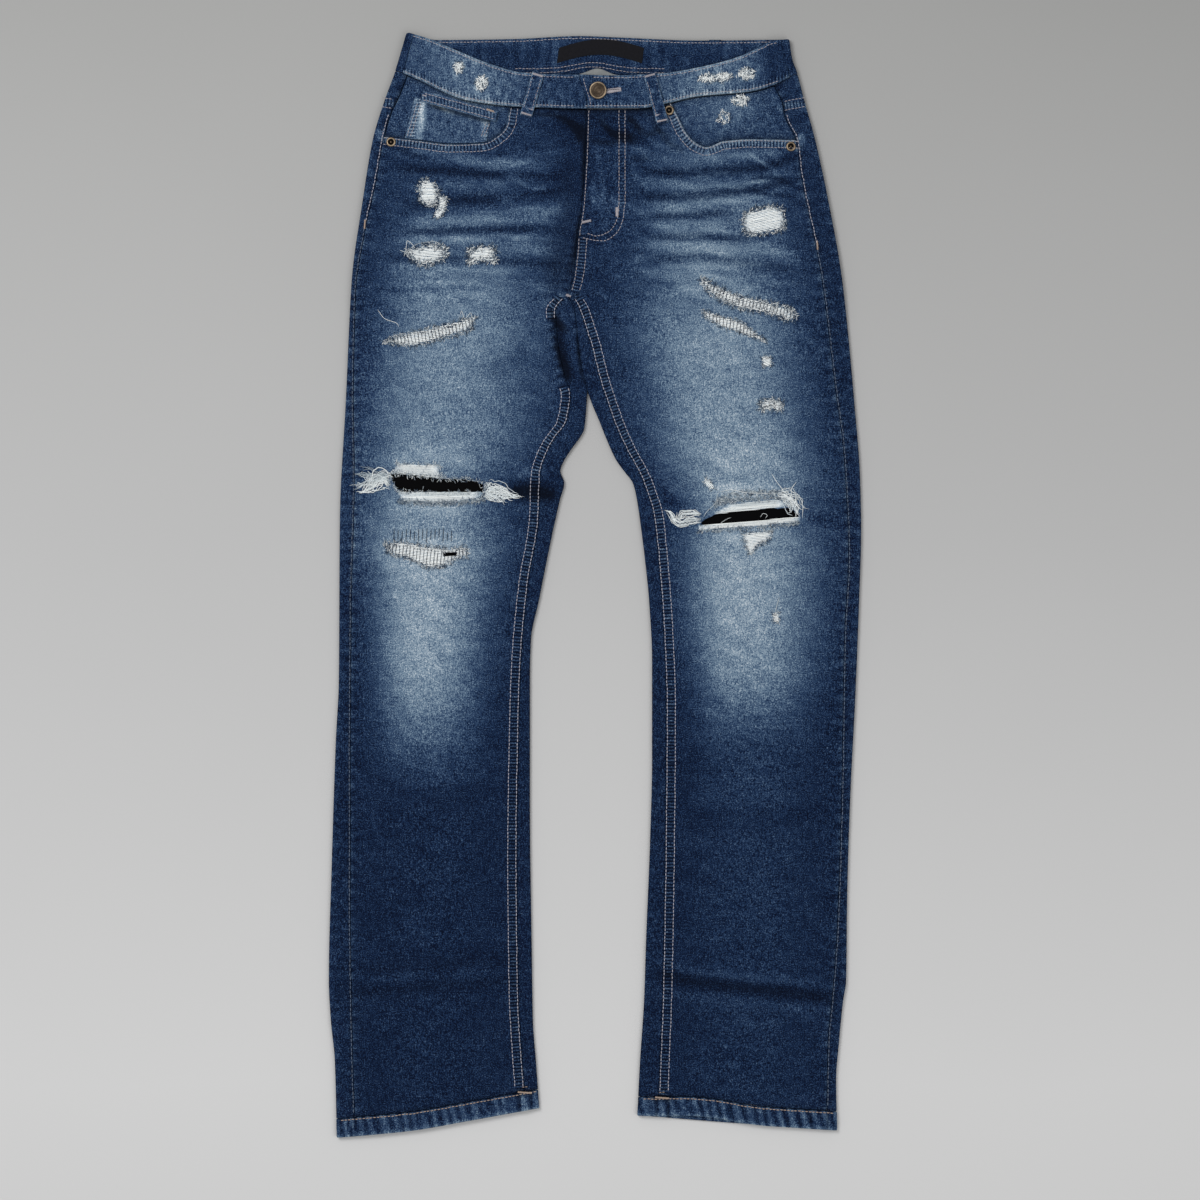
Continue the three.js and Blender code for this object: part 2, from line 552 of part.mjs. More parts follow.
// ---------------------------------------------------------------- button and rivets
/** A turned metal piece standing on the cloth at [x, y]. */
function turned(name, [x, y], z, sides, profile) {
  const geometry = new THREE.LatheGeometry(profile.map(([r, h]) => new THREE.Vector2(r, h)), sides);
  const solid = solidOf(geometry.rotateX(Math.PI / 2).translate(x, y, z));
  piece(name, solid, BRASS, 0.45, 1);
}
const buttonRadius = BUTTON_WIDTH / 2;
const buttonAt = [3, 493.5];
const buttonZ = bandTopAt(...buttonAt) + END_RISE + 0.5;
const buttonProfile = [[0, 0], [4, 0], [4, 1.6], [buttonRadius - 0.6, 1.6], [buttonRadius, 2.2],
  [buttonRadius, 2.9], [buttonRadius - 0.8, 3.4], [buttonRadius - 1.8, 3.1], [4, 3.2], [0, 3.4]];
turned('button', buttonAt, buttonZ, 16, buttonProfile);
const rivetRadius = RIVET_WIDTH / 2;
const rivetProfile = [[0, 0], [rivetRadius, 0], [rivetRadius, 0.5], [rivetRadius - 0.7, 1.1],
  [2.2, 0.8], [1.6, 1.5], [0, 1.6]];
const rivets = { rivet_right: [-203, 442], rivet_left: [195.5, 437.5], rivet_left_inner: [73, 473] };
for (const [name, at] of Object.entries(rivets)) {
  turned(name, at, topAt(...at) + 0.5, 12, rivetProfile);
}

export default jeans;
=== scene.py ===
"""Ripped jeans laid flat on their back: the denim, seams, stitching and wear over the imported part.

Cloth is worked out in millimetres in the part's own frame (+Y to the waist, +X to the wearer's
left, +Z up) and is turned into metres when a mesh is made.
"""

import math
from types import SimpleNamespace

import bpy
import numpy as np
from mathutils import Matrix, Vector


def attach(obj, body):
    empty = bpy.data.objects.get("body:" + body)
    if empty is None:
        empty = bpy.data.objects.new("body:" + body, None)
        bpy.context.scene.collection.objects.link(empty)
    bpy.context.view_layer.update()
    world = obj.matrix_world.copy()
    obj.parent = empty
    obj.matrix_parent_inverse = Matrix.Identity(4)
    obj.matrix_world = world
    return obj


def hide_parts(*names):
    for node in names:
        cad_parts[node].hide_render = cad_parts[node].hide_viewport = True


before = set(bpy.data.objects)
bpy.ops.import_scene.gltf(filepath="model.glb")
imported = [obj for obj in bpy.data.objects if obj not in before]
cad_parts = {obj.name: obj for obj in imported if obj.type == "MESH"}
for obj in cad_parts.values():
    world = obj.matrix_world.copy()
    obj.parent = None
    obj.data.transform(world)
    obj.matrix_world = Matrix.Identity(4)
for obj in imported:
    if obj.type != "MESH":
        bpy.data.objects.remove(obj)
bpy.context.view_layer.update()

MM = 0.001
PITCH = 2.3  # between the points of a dense panel
DENIM = 1.2  # one layer of cloth
BAND = 2.2  # the waistband and the hems, of turned cloth
GAP = 0.3  # between pieces that meet
EDGE_HEIGHT = 4.8  # a flattened leg at its pressed edges
LEG_PUFF = 1.3
SEAT_LIFT = 1.5
FLY_RISE = 1.3
BAND_RISE = 0.8
END_RISE = 2.7
HEM_HEIGHT = 19.5
CROTCH = 288  # where the four leg seams meet
YOKE_SIDE = 482
LOOP_WIDTH = 12
STITCH = 3.5  # one topstitch and its gap
TICK = 3.3  # from one pleat between stitched rows to the next
rng = np.random.default_rng(32)


# ------------------------------------------------------------------ curves
def smooth(low, high, at):
    t = np.clip((np.asarray(at, float) - low) / (high - low), 0, 1)
    return t * t * (3 - 2 * t)


def through(*points):
    """A curve through (at, value) points that never overshoots them."""
    at, value = np.array(sorted(points), float).T
    slope = np.diff(value) / np.diff(at)
    total = slope[:-1] + slope[1:]
    both = slope[:-1] * slope[1:]
    mean = 2 * both / np.where(both > 0, total, 1)
    tangent = np.concatenate([slope[:1], np.where(both > 0, mean, 0), slope[-1:]])

    def curve(x):
        x = np.clip(np.asarray(x, float), at[0], at[-1])
        i = np.clip(np.searchsorted(at, x, side="right") - 1, 0, len(at) - 2)
        wide = at[i + 1] - at[i]
        t = (x - at[i]) / wide
        rise = 3 * t**2 - 2 * t**3
        lean = (t**3 - 2 * t**2 + t) * tangent[i] + (t**3 - t**2) * tangent[i + 1]
        return value[i] * (1 - rise) + value[i + 1] * rise + wide * lean

    return curve


def evenly(points, pitch):
    """Points along a line of corners, one every pitch, smoothed round the corners."""
    p = np.array(points, float)
    run = np.concatenate([[0], np.cumsum(np.hypot(*np.diff(p, axis=0).T))])
    at = np.linspace(0, run[-1], max(2, int(run[-1] / pitch)))
    curves = [through(*zip(run, p[:, k])) for k in range(p.shape[1])]
    return np.stack([c(at) for c in curves], axis=1)


def near(points, x, y):
    """How far each (x, y) is from a line of corners, and how far along it that is."""
    best = np.full(x.shape, 1e9)
    along = np.zeros(x.shape)
    run = 0.0
    for (ax, ay), (bx, by) in zip(points[:-1], points[1:]):
        dx, dy = bx - ax, by - ay
        length = math.hypot(dx, dy)
        t = np.clip(((x - ax) * dx + (y - ay) * dy) / length**2, 0, 1)
        away = np.hypot(x - ax - t * dx, y - ay - t * dy)
        closer = away < best
        best = np.where(closer, away, best)
        along = np.where(closer, run + t * length, along)
        run += length
    return best, along, run


def strokes(table, x, y, power=2):
    """Marks along lines: each is (its corners, half width, strength), thinned at its ends."""
    total = np.zeros(x.shape)
    for points, wide, strength in table:
        p = np.array(points, float)
        reach = 3 * wide
        close = (x > p[:, 0].min() - reach) & (x < p[:, 0].max() + reach)
        close &= (y > p[:, 1].min() - reach) & (y < p[:, 1].max() + reach)
        if not close.any():
            continue
        away, along, length = near(p, x[close], y[close])
        end = min(length * 0.35, 30)
        thin = smooth(-wide * 0.5, end, along) * smooth(-wide * 0.5, end, length - along)
        total[close] += strength * np.exp(-((away / wide) ** power)) * thin
    return total


def rough(x, y, size, seed):
    """Smooth unevenness from -1 to 1, with lumps of about the given size."""
    draw = np.random.default_rng(seed)
    total = np.zeros(np.shape(x))
    for _ in range(7):
        angle, phase = draw.uniform(0, 2 * math.pi, 2)
        turn = draw.uniform(0.6, 1.7) * 2 * math.pi / size
        total = total + np.sin(turn * (x * math.cos(angle) + y * math.sin(angle)) + phase)
    return total / 4


# ------------------------------------------------------------------ the pattern
right = SimpleNamespace(
    name="right", inward=1, low=-552.5, fold_x=-30,
    outer=through((552.5, -188), (513.5, -199.5), (485, -210), (445, -222), (385, -232), (305, -243),
                  (185, -249), (65, -255), (-95, -256), (-155, -259), (-275, -263), (-394.5, -266),
                  (-434.5, -264), (-475, -260), (-552.5, -258)),
    inner=through((288, -25.9), (275, -20), (229, -15.3), (196, -7.6), (180, -8.4), (156, -10.8), (149.5, -14),
                  (135.5, -24), (123.5, -31.5), (114.5, -34.6), (102.5, -30.7), (85.5, -35), (45, -44),
                  (-15, -56), (-55, -64), (-95, -65), (-215, -65), (-375, -63), (-435, -62), (-475, -59),
                  (-552.5, -53.5)),
    outseam=through((508, -188), (490, -195), (468, -205), (450, -210), (405, -218), (350, -230),
                    (295, -238.5), (185, -241), (105, -240), (-15, -243), (-175, -244), (-315, -244),
                    (-455, -242), (-552.5, -239)),
    inseam=through((288, -29.3), (275, -39), (244, -37), (206, -29), (191, -24), (164, -28), (147, -40),
                   (132, -48), (112, -54), (65, -56), (8, -65.5), (-32, -70), (-85, -74), (-158, -76),
                   (-265, -77.5), (-408, -76), (-478, -72), (-552.5, -65)),
    hem_rise=through((-266, 0), (-183, 8), (-128, 17.5), (-53, 31)),
    hem_arch=lambda x: 0 * x,
    mouth=[(-211, 448.5), (-174, 444), (-143, 440.5), (-113, 441.5), (-97, 449), (-88, 460), (-85, 478)],
    fade_at=through((520, -140), (300, -148), (150, -162), (60, -171), (-170, -173)),
    fade=through((560, 0.1), (430, 0.13), (400, 0.17), (366, 0.26), (330, 0.33), (306, 0.38), (285, 0.44),
                 (246, 0.53), (216, 0.51), (160, 0.5), (126, 0.52), (100, 0.44), (80, 0.52), (50, 0.62),
                 (36, 0.7), (6, 0.64), (-24, 0.63), (-54, 0.63), (-84, 0.6), (-114, 0.52), (-144, 0.38),
                 (-174, 0.22), (-204, 0.1), (-240, 0.02), (-560, 0.0)),
    fade_out=through((500, 75), (370, 62), (250, 58), (180, 64), (110, 62), (60, 58), (0, 46), (-150, 39)),
    fade_in=through((500, 96), (330, 92), (150, 88), (100, 68), (60, 68), (-30, 58), (-90, 52), (-150, 46)),
)
left = SimpleNamespace(
    name="left", inward=-1, low=-545, fold_x=30,
    outer=through((545.5, 194), (525, 197), (511.5, 202), (485, 209), (445, 220), (385, 233), (305, 247),
                  (185, 259), (105, 265), (55.5, 266), (-15, 264), (-115, 260), (-215, 255), (-315, 252),
                  (-395, 251), (-415, 248), (-455, 244), (-495, 241), (-545, 242)),
    inner=through((288, -26.1), (275, -20.2), (229, -15.5), (196, -7.9), (183, -3.6), (165, 4), (145, 12), (125, 21.3),
                  (113, 30), (102, 38), (85, 42), (65, 45), (25, 50), (-15, 54), (-75, 57), (-175, 57),
                  (-255, 55), (-355, 51), (-415, 49), (-475, 45), (-545, 41.5)),
    outseam=through((512, 174), (497, 180), (483, 187), (469, 189.5), (444, 201), (419, 204), (393, 208.5),
                    (335, 221), (301, 227), (237, 235), (191, 240.5), (145, 247), (89, 251), (33, 253),
                    (-50, 249), (-215, 246), (-335, 242), (-408, 237), (-455, 232.5), (-545, 231)),
    inseam=through((288, -22.7), (276, -16), (256, -9.3), (236, -3.2), (206, 4.4), (183, 12), (158, 21),
                   (134, 32), (115, 42.7), (99, 49.4), (72, 57.8), (25, 63), (-43, 68), (-122, 70.7),
                   (-265, 69.6), (-408, 67), (-478, 64.3), (-545, 62)),
    hem_rise=through((41, 15.5), (155, 6.5), (250, 0)),
    hem_arch=lambda x: 4.5 * np.sin(np.pi * np.clip((x - 38) / 135, 0, 1)) ** 2,
    mouth=[(203, 444.5), (157, 445.5), (129, 443.5), (111, 437.5), (101, 441.5), (91, 451.5), (83, 467),
           (76, 482)],
    fade_at=through((400, 112), (250, 124), (150, 136), (100, 143), (-170, 145)),
    fade=through((560, 0.12), (430, 0.24), (400, 0.27), (366, 0.36), (336, 0.39), (306, 0.44), (276, 0.51),
                 (246, 0.57), (200, 0.56), (156, 0.57), (126, 0.62), (96, 0.56), (66, 0.46), (40, 0.61),
                 (6, 0.64), (-24, 0.64), (-54, 0.6), (-84, 0.56), (-114, 0.42), (-144, 0.24), (-180, 0.13),
                 (-240, 0.11), (-300, 0.08), (-560, 0.05)),
    fade_out=through((500, 90), (336, 72), (250, 70), (150, 72), (60, 76), (0, 72), (-84, 66), (-150, 60)),
    fade_in=through((500, 62), (400, 66), (300, 74), (250, 80), (150, 74), (110, 62), (60, 54), (-30, 46), (-90, 40),
                    (-150, 36)),
)
LEGS = (right, left)

centre_front = through((512, -7.5), (438, -9.4), (377, -13.2), (354, -17), (309, -21.6), (292, -26))
centre_back = through((512, -4), (400, -8), (320, -16), (292, -24))
waist_seam = through((-200, 514.5), (-174, 503.5), (-153, 493), (-133, 485), (-112, 481), (-82, 477.7),
                     (-50, 476.5), (-7, 475.5), (45, 475.5), (73, 481), (101, 487.5), (154, 492.5),
                     (178, 499), (202, 511.5))
front_top = through((-188, 552.5), (-164, 545), (-143, 536), (-102, 519.5), (-74, 512), (-42, 510),
                    (-15, 509.5), (18, 508.5), (63, 510.5), (101, 516.5), (143, 527.5), (164, 537),
                    (178, 543.5), (194, 545.5))
back_top = through((-188, 552.5), (-157, 545), (-82, 546), (-15, 549), (25, 547.5), (105, 544.5),
                   (194, 545.5))
back_seam = through((-200, 513.5), (0, 509), (202, 510.4))
yoke_seam = through((-214, 482), (-199, YOKE_SIDE), (-100, 464), (-6, 446), (95, 462),
                    (187, YOKE_SIDE), (212, 482))

# Torn knees: the open part of each, widest at its middle.
KNEES = {
    "right": [(-205, 111), (-196, 113), (-154, 108), (-148, 106), (-129, 106), (-112, 101), (-110, 93),
              (-133, 93), (-195, 94)],
    "left": [(104, 60), (115, 69), (149, 76), (192, 77), (203, 69.5), (186, 66), (129, 61.5)],
}

# Whiskers: ridges that rubbed pale, and the dark troughs between them.
RIDGES = [
    ([(-208, 432), (-165, 432), (-105, 422), (-32, 418)], 6, 0.85),
    ([(-155, 405), (-115, 398), (-65, 408)], 7, 0.7),
    ([(-85, 372), (-38, 380), (-18, 382)], 4, 0.9),
    ([(-198, 358), (-132, 365), (-65, 365), (-18, 372)], 6, 1.0),
    ([(-205, 345), (-132, 345), (-78, 338), (-25, 332)], 6, 0.9),
    ([(-212, 316), (-132, 312), (-65, 310)], 9, 0.55),
    ([(-222, 285), (-132, 285), (-52, 288)], 10, 0.3),
    ([(-150, 425), (-118, 417), (-70, 424)], 5, 0.5),
    ([(48, 425), (88, 423), (135, 428), (195, 433)], 6, 0.75),
    ([(35, 408), (68, 398), (118, 398), (182, 405), (208, 418)], 6, 0.9),
    ([(35, 378), (85, 378), (145, 385), (202, 398)], 6, 1.0),
    ([(45, 362), (95, 358), (142, 362)], 6, 0.8),
    ([(48, 338), (102, 338), (168, 335), (215, 325)], 7, 0.8),
    ([(52, 312), (102, 318), (168, 322)], 8, 0.5),
    ([(60, 288), (110, 297), (165, 290)], 9, 0.3),
    ([(-28, 310), (-8, 330), (24, 342)], 8, 0.3),
]
TROUGHS = [
    ([(-205, 418), (-132, 412), (-75, 409)], 5, 1.0), ([(-90, 410), (-52, 408), (-14, 408)], 4, 0.5),
    ([(-198, 378), (-125, 385), (-80, 387)], 6, 1.0), ([(-90, 387), (-58, 390), (-14, 398)], 4, 0.45),
    ([(-202, 352), (-115, 355), (-45, 357)], 4, 0.8),
    ([(-215, 327), (-105, 325), (-18, 318)], 5, 0.6),
    ([(-205, 440), (-188, 432), (-160, 424)], 3, 0.8),
    ([(42, 412), (102, 412), (168, 417), (215, 432)], 5, 1.0),
    ([(35, 388), (95, 388), (162, 395), (208, 408)], 5, 1.0),
    ([(42, 368), (102, 369), (148, 375)], 4, 0.8),
    ([(45, 348), (102, 348), (168, 345)], 4, 0.8),
    ([(48, 326), (102, 328), (202, 315)], 5, 0.6),
    ([(150, 401), (165, 407), (185, 406), (200, 398)], 3, 1.0),
    ([(146, 399), (170, 390), (205, 388)], 2.5, 0.7),
]
# Fine pale creases between the whiskers and down the fly, as (line, half width, strength).
CREASES = [
    ([(-200, 400), (-170, 396), (-135, 402)], 2.5, 0.14), ([(-120, 412), (-90, 416), (-50, 428)], 2.5, 0.16),
    ([(-110, 352), (-80, 347), (-48, 352)], 2.5, 0.16), ([(-205, 300), (-150, 303), (-95, 298)], 3, 0.08),
    ([(-130, 375), (-95, 372), (-60, 378)], 2.5, 0.14), ([(-190, 425), (-170, 420), (-150, 412)], 2.5, 0.12),
    ([(70, 418), (110, 411), (150, 414)], 2.5, 0.14), ([(60, 392), (105, 388), (150, 392)], 2.5, 0.14),
    ([(120, 372), (160, 378), (196, 388)], 2.5, 0.12), ([(50, 352), (90, 348), (130, 352)], 2.5, 0.14),
    ([(160, 425), (178, 416), (186, 404)], 2.5, 0.16), ([(172, 430), (186, 424), (196, 414)], 2.5, 0.12),
    ([(66, 330), (110, 334), (150, 328)], 3, 0.1), ([(74, 306), (120, 308), (160, 302)], 3, 0.08),
    ([(4, 455), (3, 420), (6, 390)], 4, 0.1), ([(14, 440), (12, 405)], 2, 0.12), ([(0, 392), (10, 368)], 7, 0.14),
    ([(22, 432), (20, 412)], 2.5, 0.1), ([(-2, 408), (-1, 376)], 3.2, 0.2), ([(7, 405), (8, 378)], 2.6, 0.16),
    ([(14, 388), (24, 380), (30, 376)], 5, 0.18), ([(30, 384), (40, 374), (56, 366)], 3, 0.14),
    ([(37, 424), (39, 404)], 2.6, 0.12), ([(6, 470), (10, 458)], 2.5, 0.14), ([(40, 455), (60, 440), (72, 436)], 2.5, 0.12),
    ([(40, 440), (56, 424)], 3, 0.12), ([(-8, 350), (8, 356), (16, 366)], 3, 0.12),
    ([(-60, 300), (-40, 290)], 4, 0.08), ([(30, 320), (50, 330)], 4, 0.08),
    ([(-82, 433), (-60, 431), (-26, 432)], 3, 0.12), ([(-84, 408), (-62, 396), (-38, 397)], 2.2, 0.2),
    ([(-80, 378), (-50, 372), (-20, 378)], 2.8, 0.16), ([(-85, 345), (-40, 346), (-22, 343)], 3.5, 0.12),
    ([(152, 434), (164, 424), (176, 417)], 2.0, 0.2), ([(144, 398), (160, 403), (182, 405)], 1.8, 0.22),
]
# Folds of the laid cloth: troughs, and the swells beside them.
FOLDS = [
    ([(-41, 272), (-38, 256), (-33, 238), (-26, 214), (-25, 196)], 4.5, 1.9),
    ([(-90, 93), (-60, 94), (-34, 89)], 8, 1.3),
    ([(50, -386), (100, -396), (170, -404), (248, -414)], 6, 1.5),
    ([(-262, -408), (-180, -402), (-66, -394)], 6, 0.7),
    ([(-240, -384), (-150, -378), (-66, -372)], 8, 0.5),
    ([(-36, 462), (-10, 448)], 9, 1.0),
    ([(-8, 446), (30, 452), (65, 440)], 7, 1.0),
    ([(-72, 104), (-36, 86)], 5, 0.8),
    ([(-235, 118), (-205, 104)], 6, 0.5),
    ([(62, 92), (100, 70)], 6, 0.6),
    ([(205, 70), (245, 60)], 7, 0.5),
    ([(-225, -200), (-150, -215), (-90, -205)], 12, 0.35),
    ([(80, -230), (150, -240), (235, -225)], 12, 0.3),
    ([(60, 300), (120, 250)], 14, 0.3),
    ([(-60, 240), (-110, 205)], 12, 0.4),
    ([(20, 225), (60, 205)], 8, 0.4),
]
SWELLS = [
    ([(55, -376), (110, -388), (180, -395), (246, -400)], 6, 0.7),
    ([(52, -402), (110, -412), (180, -420), (240, -428)], 7, 0.5),
    ([(-262, -394), (-180, -390), (-66, -383)], 6, 0.4),
    ([(-85, 112), (-40, 112)], 7, 0.8),
    ([(-84, 78), (-45, 80)], 7, 0.6),
    ([(-220, 125), (-150, 130), (-110, 118)], 8, 0.7),
    ([(-214, 82), (-150, 78), (-104, 84)], 8, 0.8),
    ([(98, 84), (150, 92), (205, 88)], 8, 0.7),
    ([(104, 48), (150, 52), (200, 58)], 8, 0.8),
    ([(-20, 440), (25, 437), (60, 430)], 6, 0.5),
]


def lift(y):
    return SEAT_LIFT * smooth(255, 298, y)


def share(x, low, high):
    return np.clip((x - low) / (high - low), 0, 1)


def arch(t):
    return np.sin(np.pi * t) ** 0.7


def cloth_at(x, y):
    """How high the outside of the upper layer lies, leaving out the fly."""
    x, y = np.broadcast_arrays(np.asarray(x, float), np.asarray(y, float))
    leg_share = np.where(
        x < centre_front(y),
        share(x, right.outer(y), right.inner(y)),
        share(-x, -left.outer(y), -left.inner(y)),
    )
    trunk = smooth(190, 330, y)
    puff = arch(leg_share) * (1 - trunk) + arch(share(x, right.outer(y), left.outer(y))) * trunk
    relief = 0.55 * strokes(RIDGES, x, y) - 0.6 * strokes(TROUGHS, x, y)
    relief += strokes(SWELLS, x, y) - strokes(FOLDS, x, y)
    relief += 0.16 * rough(x, 1.6 * y, 34, 5) + 0.08 * rough(x, y, 13, 6)
    return lift(y) + EDGE_HEIGHT + LEG_PUFF * puff + relief


def top_at(x, y):
    """The same with the left front, which stands higher along the fly."""
    x, y = np.broadcast_arrays(np.asarray(x, float), np.asarray(y, float))
    overlap = FLY_RISE * (1 - smooth(35, 60, x)) * smooth(290, 350, y)
    return cloth_at(x, y) + np.where((x > centre_front(y)) & (y > CROTCH), overlap, 0)


def band_at(x, y):
    """The front waistband's outside, which swells above and below its seams."""
    return cloth_at(x, np.minimum(y, 470)) + BAND_RISE + 0.12 * rough(x, y, 26, 9)


def across(rows, start, end, parts, bend):
    """The (x, y) of a grid whose rows run between two lines; bend gives a row's true height at x."""
    y = np.repeat(rows[:, None], len(parts), axis=1)
    for _ in range(6):
        x = start(y) + (end(y) - start(y)) * parts
        y = bend(rows[:, None], x)
    return x, y


def tilt(leg, layer="top"):
    """How a leg's rows tilt with its hem, below the shin."""

    def bend(row, x):
        low = 1 - smooth(leg.low + HEM_HEIGHT, -300, row)
        arched = leg.hem_arch(x) if layer == "top" else 0
        return row + low * (leg.hem_rise(x) + arched)

    return bend


# ------------------------------------------------------------------ wash, wear and painted shade
def fade_at(x, y):
    """How pale the denim has washed: 0 is indigo and 1 nearly white."""
    total = np.zeros(np.shape(x))
    for leg in LEGS:
        off = (x - leg.fade_at(y)) * leg.inward
        half = np.where(off < 0, leg.fade_out(y), leg.fade_in(y))
        mine = leg.fade(y) * np.exp2(-np.abs(off / half) ** 2.6)
        total = np.maximum(total, mine)
    return total


def roping(points, x, y, wide=5.5, period=11.0, seed=1):
    """Pale and dark puckers along a seam."""
    away, along, _ = near(points, x, y)
    beat = np.sin(2 * np.pi * along / period + 1.8 * rough(along, 0 * along, 60, seed))
    return np.exp(-((away / wide) ** 2)) * beat


def line_of(curve, y_from, y_to, shift=0.0, pitch=12):
    """A line of corners down a seam."""
    y = np.linspace(y_from, y_to, max(2, int(abs(y_to - y_from) / pitch)))
    return list(zip(curve(y) + shift, y))


SEAMS = {
    leg.name: {
        "out": line_of(leg.outseam, 505, leg.low),
        "in": line_of(leg.inseam, CROTCH, leg.low + 22, -5 * leg.inward),
        "edge": line_of(leg.outer, 505, leg.low),
        "inner_edge": line_of(leg.inner, CROTCH - 20, leg.low),
        "mouth": leg.mouth,
    }
    for leg in LEGS
}
RISE_SEAM = line_of(centre_front, 345, 290, -4)
def inside(polygon, x, y):
    """Which points lie within a polygon."""
    hit = np.zeros(np.shape(x), bool)
    for (ax, ay), (bx, by) in zip(polygon, polygon[1:] + polygon[:1]):
        if ay == by:
            continue
        crosses = (ay > y) != (by > y)
        hit ^= crosses & (x < (bx - ax) * (y - ay) / (by - ay) + ax)
    return hit


# Rubbed-through patches, as (outline, lie of the threads, laddered, fray length, fray density).
RIPS = {
    "right": [
        ([(-175, 399.5), (-170, 404.5), (-162, 401.5), (-157, 392.5), (-159, 382.5), (-167, 379.5), (-174, 385.5)],
         0.0, False, 5, 4.0),
        ([(-155, 388.5), (-148, 386.5), (-150, 375.5), (-156, 366.5), (-160, 369.5), (-155, 378.5)], 0.1, False, 4, 3.0),
        ([(-189, 333.5), (-175, 336.5), (-161, 339.5), (-150, 335.5), (-149, 329.5), (-159, 323.5), (-171, 320.5),
          (-183, 326.5)], 0.06, False, 6, 4.0),
        ([(-125, 334.5), (-113, 336.5), (-101, 335.5), (-100, 323.5), (-111, 325.5), (-125, 322.5)], 0.03, False, 6, 4.0),
        ([(-210, 242.5), (-182, 240.5), (-153, 247.5), (-123, 257.5), (-121, 266.5), (-149, 259.5), (-175, 253.5),
          (-199, 248.5)], 0.12, True, 5, 3.0),
        ([(-209, 41.5), (-197, 42.5), (-167, 37.5), (-145, 35.5), (-130, 37.5), (-127, 30.5), (-138, 27.5),
          (-154, 19.5), (-167, 19.5), (-184, 26.5), (-206, 33.5)], -0.1, True, 4.5, 3.0),
    ],
    "left": [
        ([(148, 363.5), (151, 370.5), (177, 377.5), (185, 375.5), (189, 364.5), (188, 357.5), (155, 350.5),
          (149, 354.5)], 0.22, False, 5, 3.5),
        ([(107, 305.5), (121, 297.5), (145, 287.5), (164, 283.5), (197, 274.5), (200, 268.5), (195, 265.5),
          (171, 273.5), (145, 277.5), (121, 288.5), (110, 298.5)], -0.22, True, 5.5, 3.5),
        ([(108, 274.5), (121, 269.5), (143, 263.5), (156, 255.5), (170, 243.5), (160, 247.5), (147, 252.5),
          (132, 256.5), (121, 261.5), (110, 269.5)], -0.12, True, 3.5, 2.5),
        ([(167, 228), (175, 228), (176, 220), (168, 219)], 0.3, False, 3, 2.0),
        ([(165, 181), (172, 185), (181, 184), (187, 180), (184, 175), (176, 177), (168, 175)], 0.05, False, 5, 4.0),
        ([(148, 51.5), (176, 54.5), (174, 46.5), (161, 39.5), (157, 31.5), (151, 37.5)], 0.1, False, 3.5, 2.5),
        ([(178, -27), (183, -28), (183, -37), (178, -36)], 0.2, False, 3, 2.0),
        ([(110, 107), (116, 103), (119, 96), (114, 97), (109, 103)], 0.9, False, 2.5, 1.5),
    ],
}
# White bands of weft along the open knees.
BANDS = [
    [(-201, 112), (-197, 121), (-157, 120), (-155, 107)],
    [(-197, 94.5), (-194, 85.5), (-162, 83), (-138, 84), (-119, 86.5), (-110, 93.5)],
    [(104, 60.5), (204, 69), (203, 63), (103, 55)],
    [(118, 71.5), (133, 80.5), (160, 83.5), (185, 85.5), (191, 81), (188, 78.5), (124, 71.5)],
]


def rubbed_white(x, y):
    """How far each point lies within a rubbed-through patch, 0 to 1."""
    total = np.zeros(np.shape(x))
    patches = [p[0] for side in RIPS.values() for p in side] + BANDS
    for polygon in patches:
        edge = np.array(polygon)
        close = (x > edge[:, 0].min() - 8) & (x < edge[:, 0].max() + 8)
        close &= (y > edge[:, 1].min() - 8) & (y < edge[:, 1].max() + 8)
        if not close.any():
            continue
        away, _, _ = near(polygon + polygon[:1], x[close], y[close])
        depth = np.where(inside(polygon, x[close], y[close]), away, -away)
        total[close] = np.maximum(total[close], 0.66 * smooth(-1.0, 1.0, depth) + 0.08 * smooth(-6, 0, depth))
    return total


# Small rips and rubbed places: where the cloth has gone white, as (line, half width, strength).
BARE = [
    ([(110, 96), (190, 97)], 8, 0.08), ([(-136, 520), (-136, 513)], 4, 0.5), ([(-106, 508), (-122, 494)], 3.5, 0.5),
    ([(108, 506), (135, 507)], 3, 0.4), ([(146, 510), (157, 511)], 6, 0.5), ([(137, 487), (152, 480)], 5, 0.4),
    ([(125, 472), (134, 462)], 6, 0.1), ([(-174, 484), (-172, 470), (-170, 452)], 3, 0.22),
    ([(-105, 473), (-110, 455)], 3, 0.2), ([(-216, 483), (-196, 481)], 4.5, 0.2), ([(184, 478), (214, 482)], 4.2, 0.2),
]


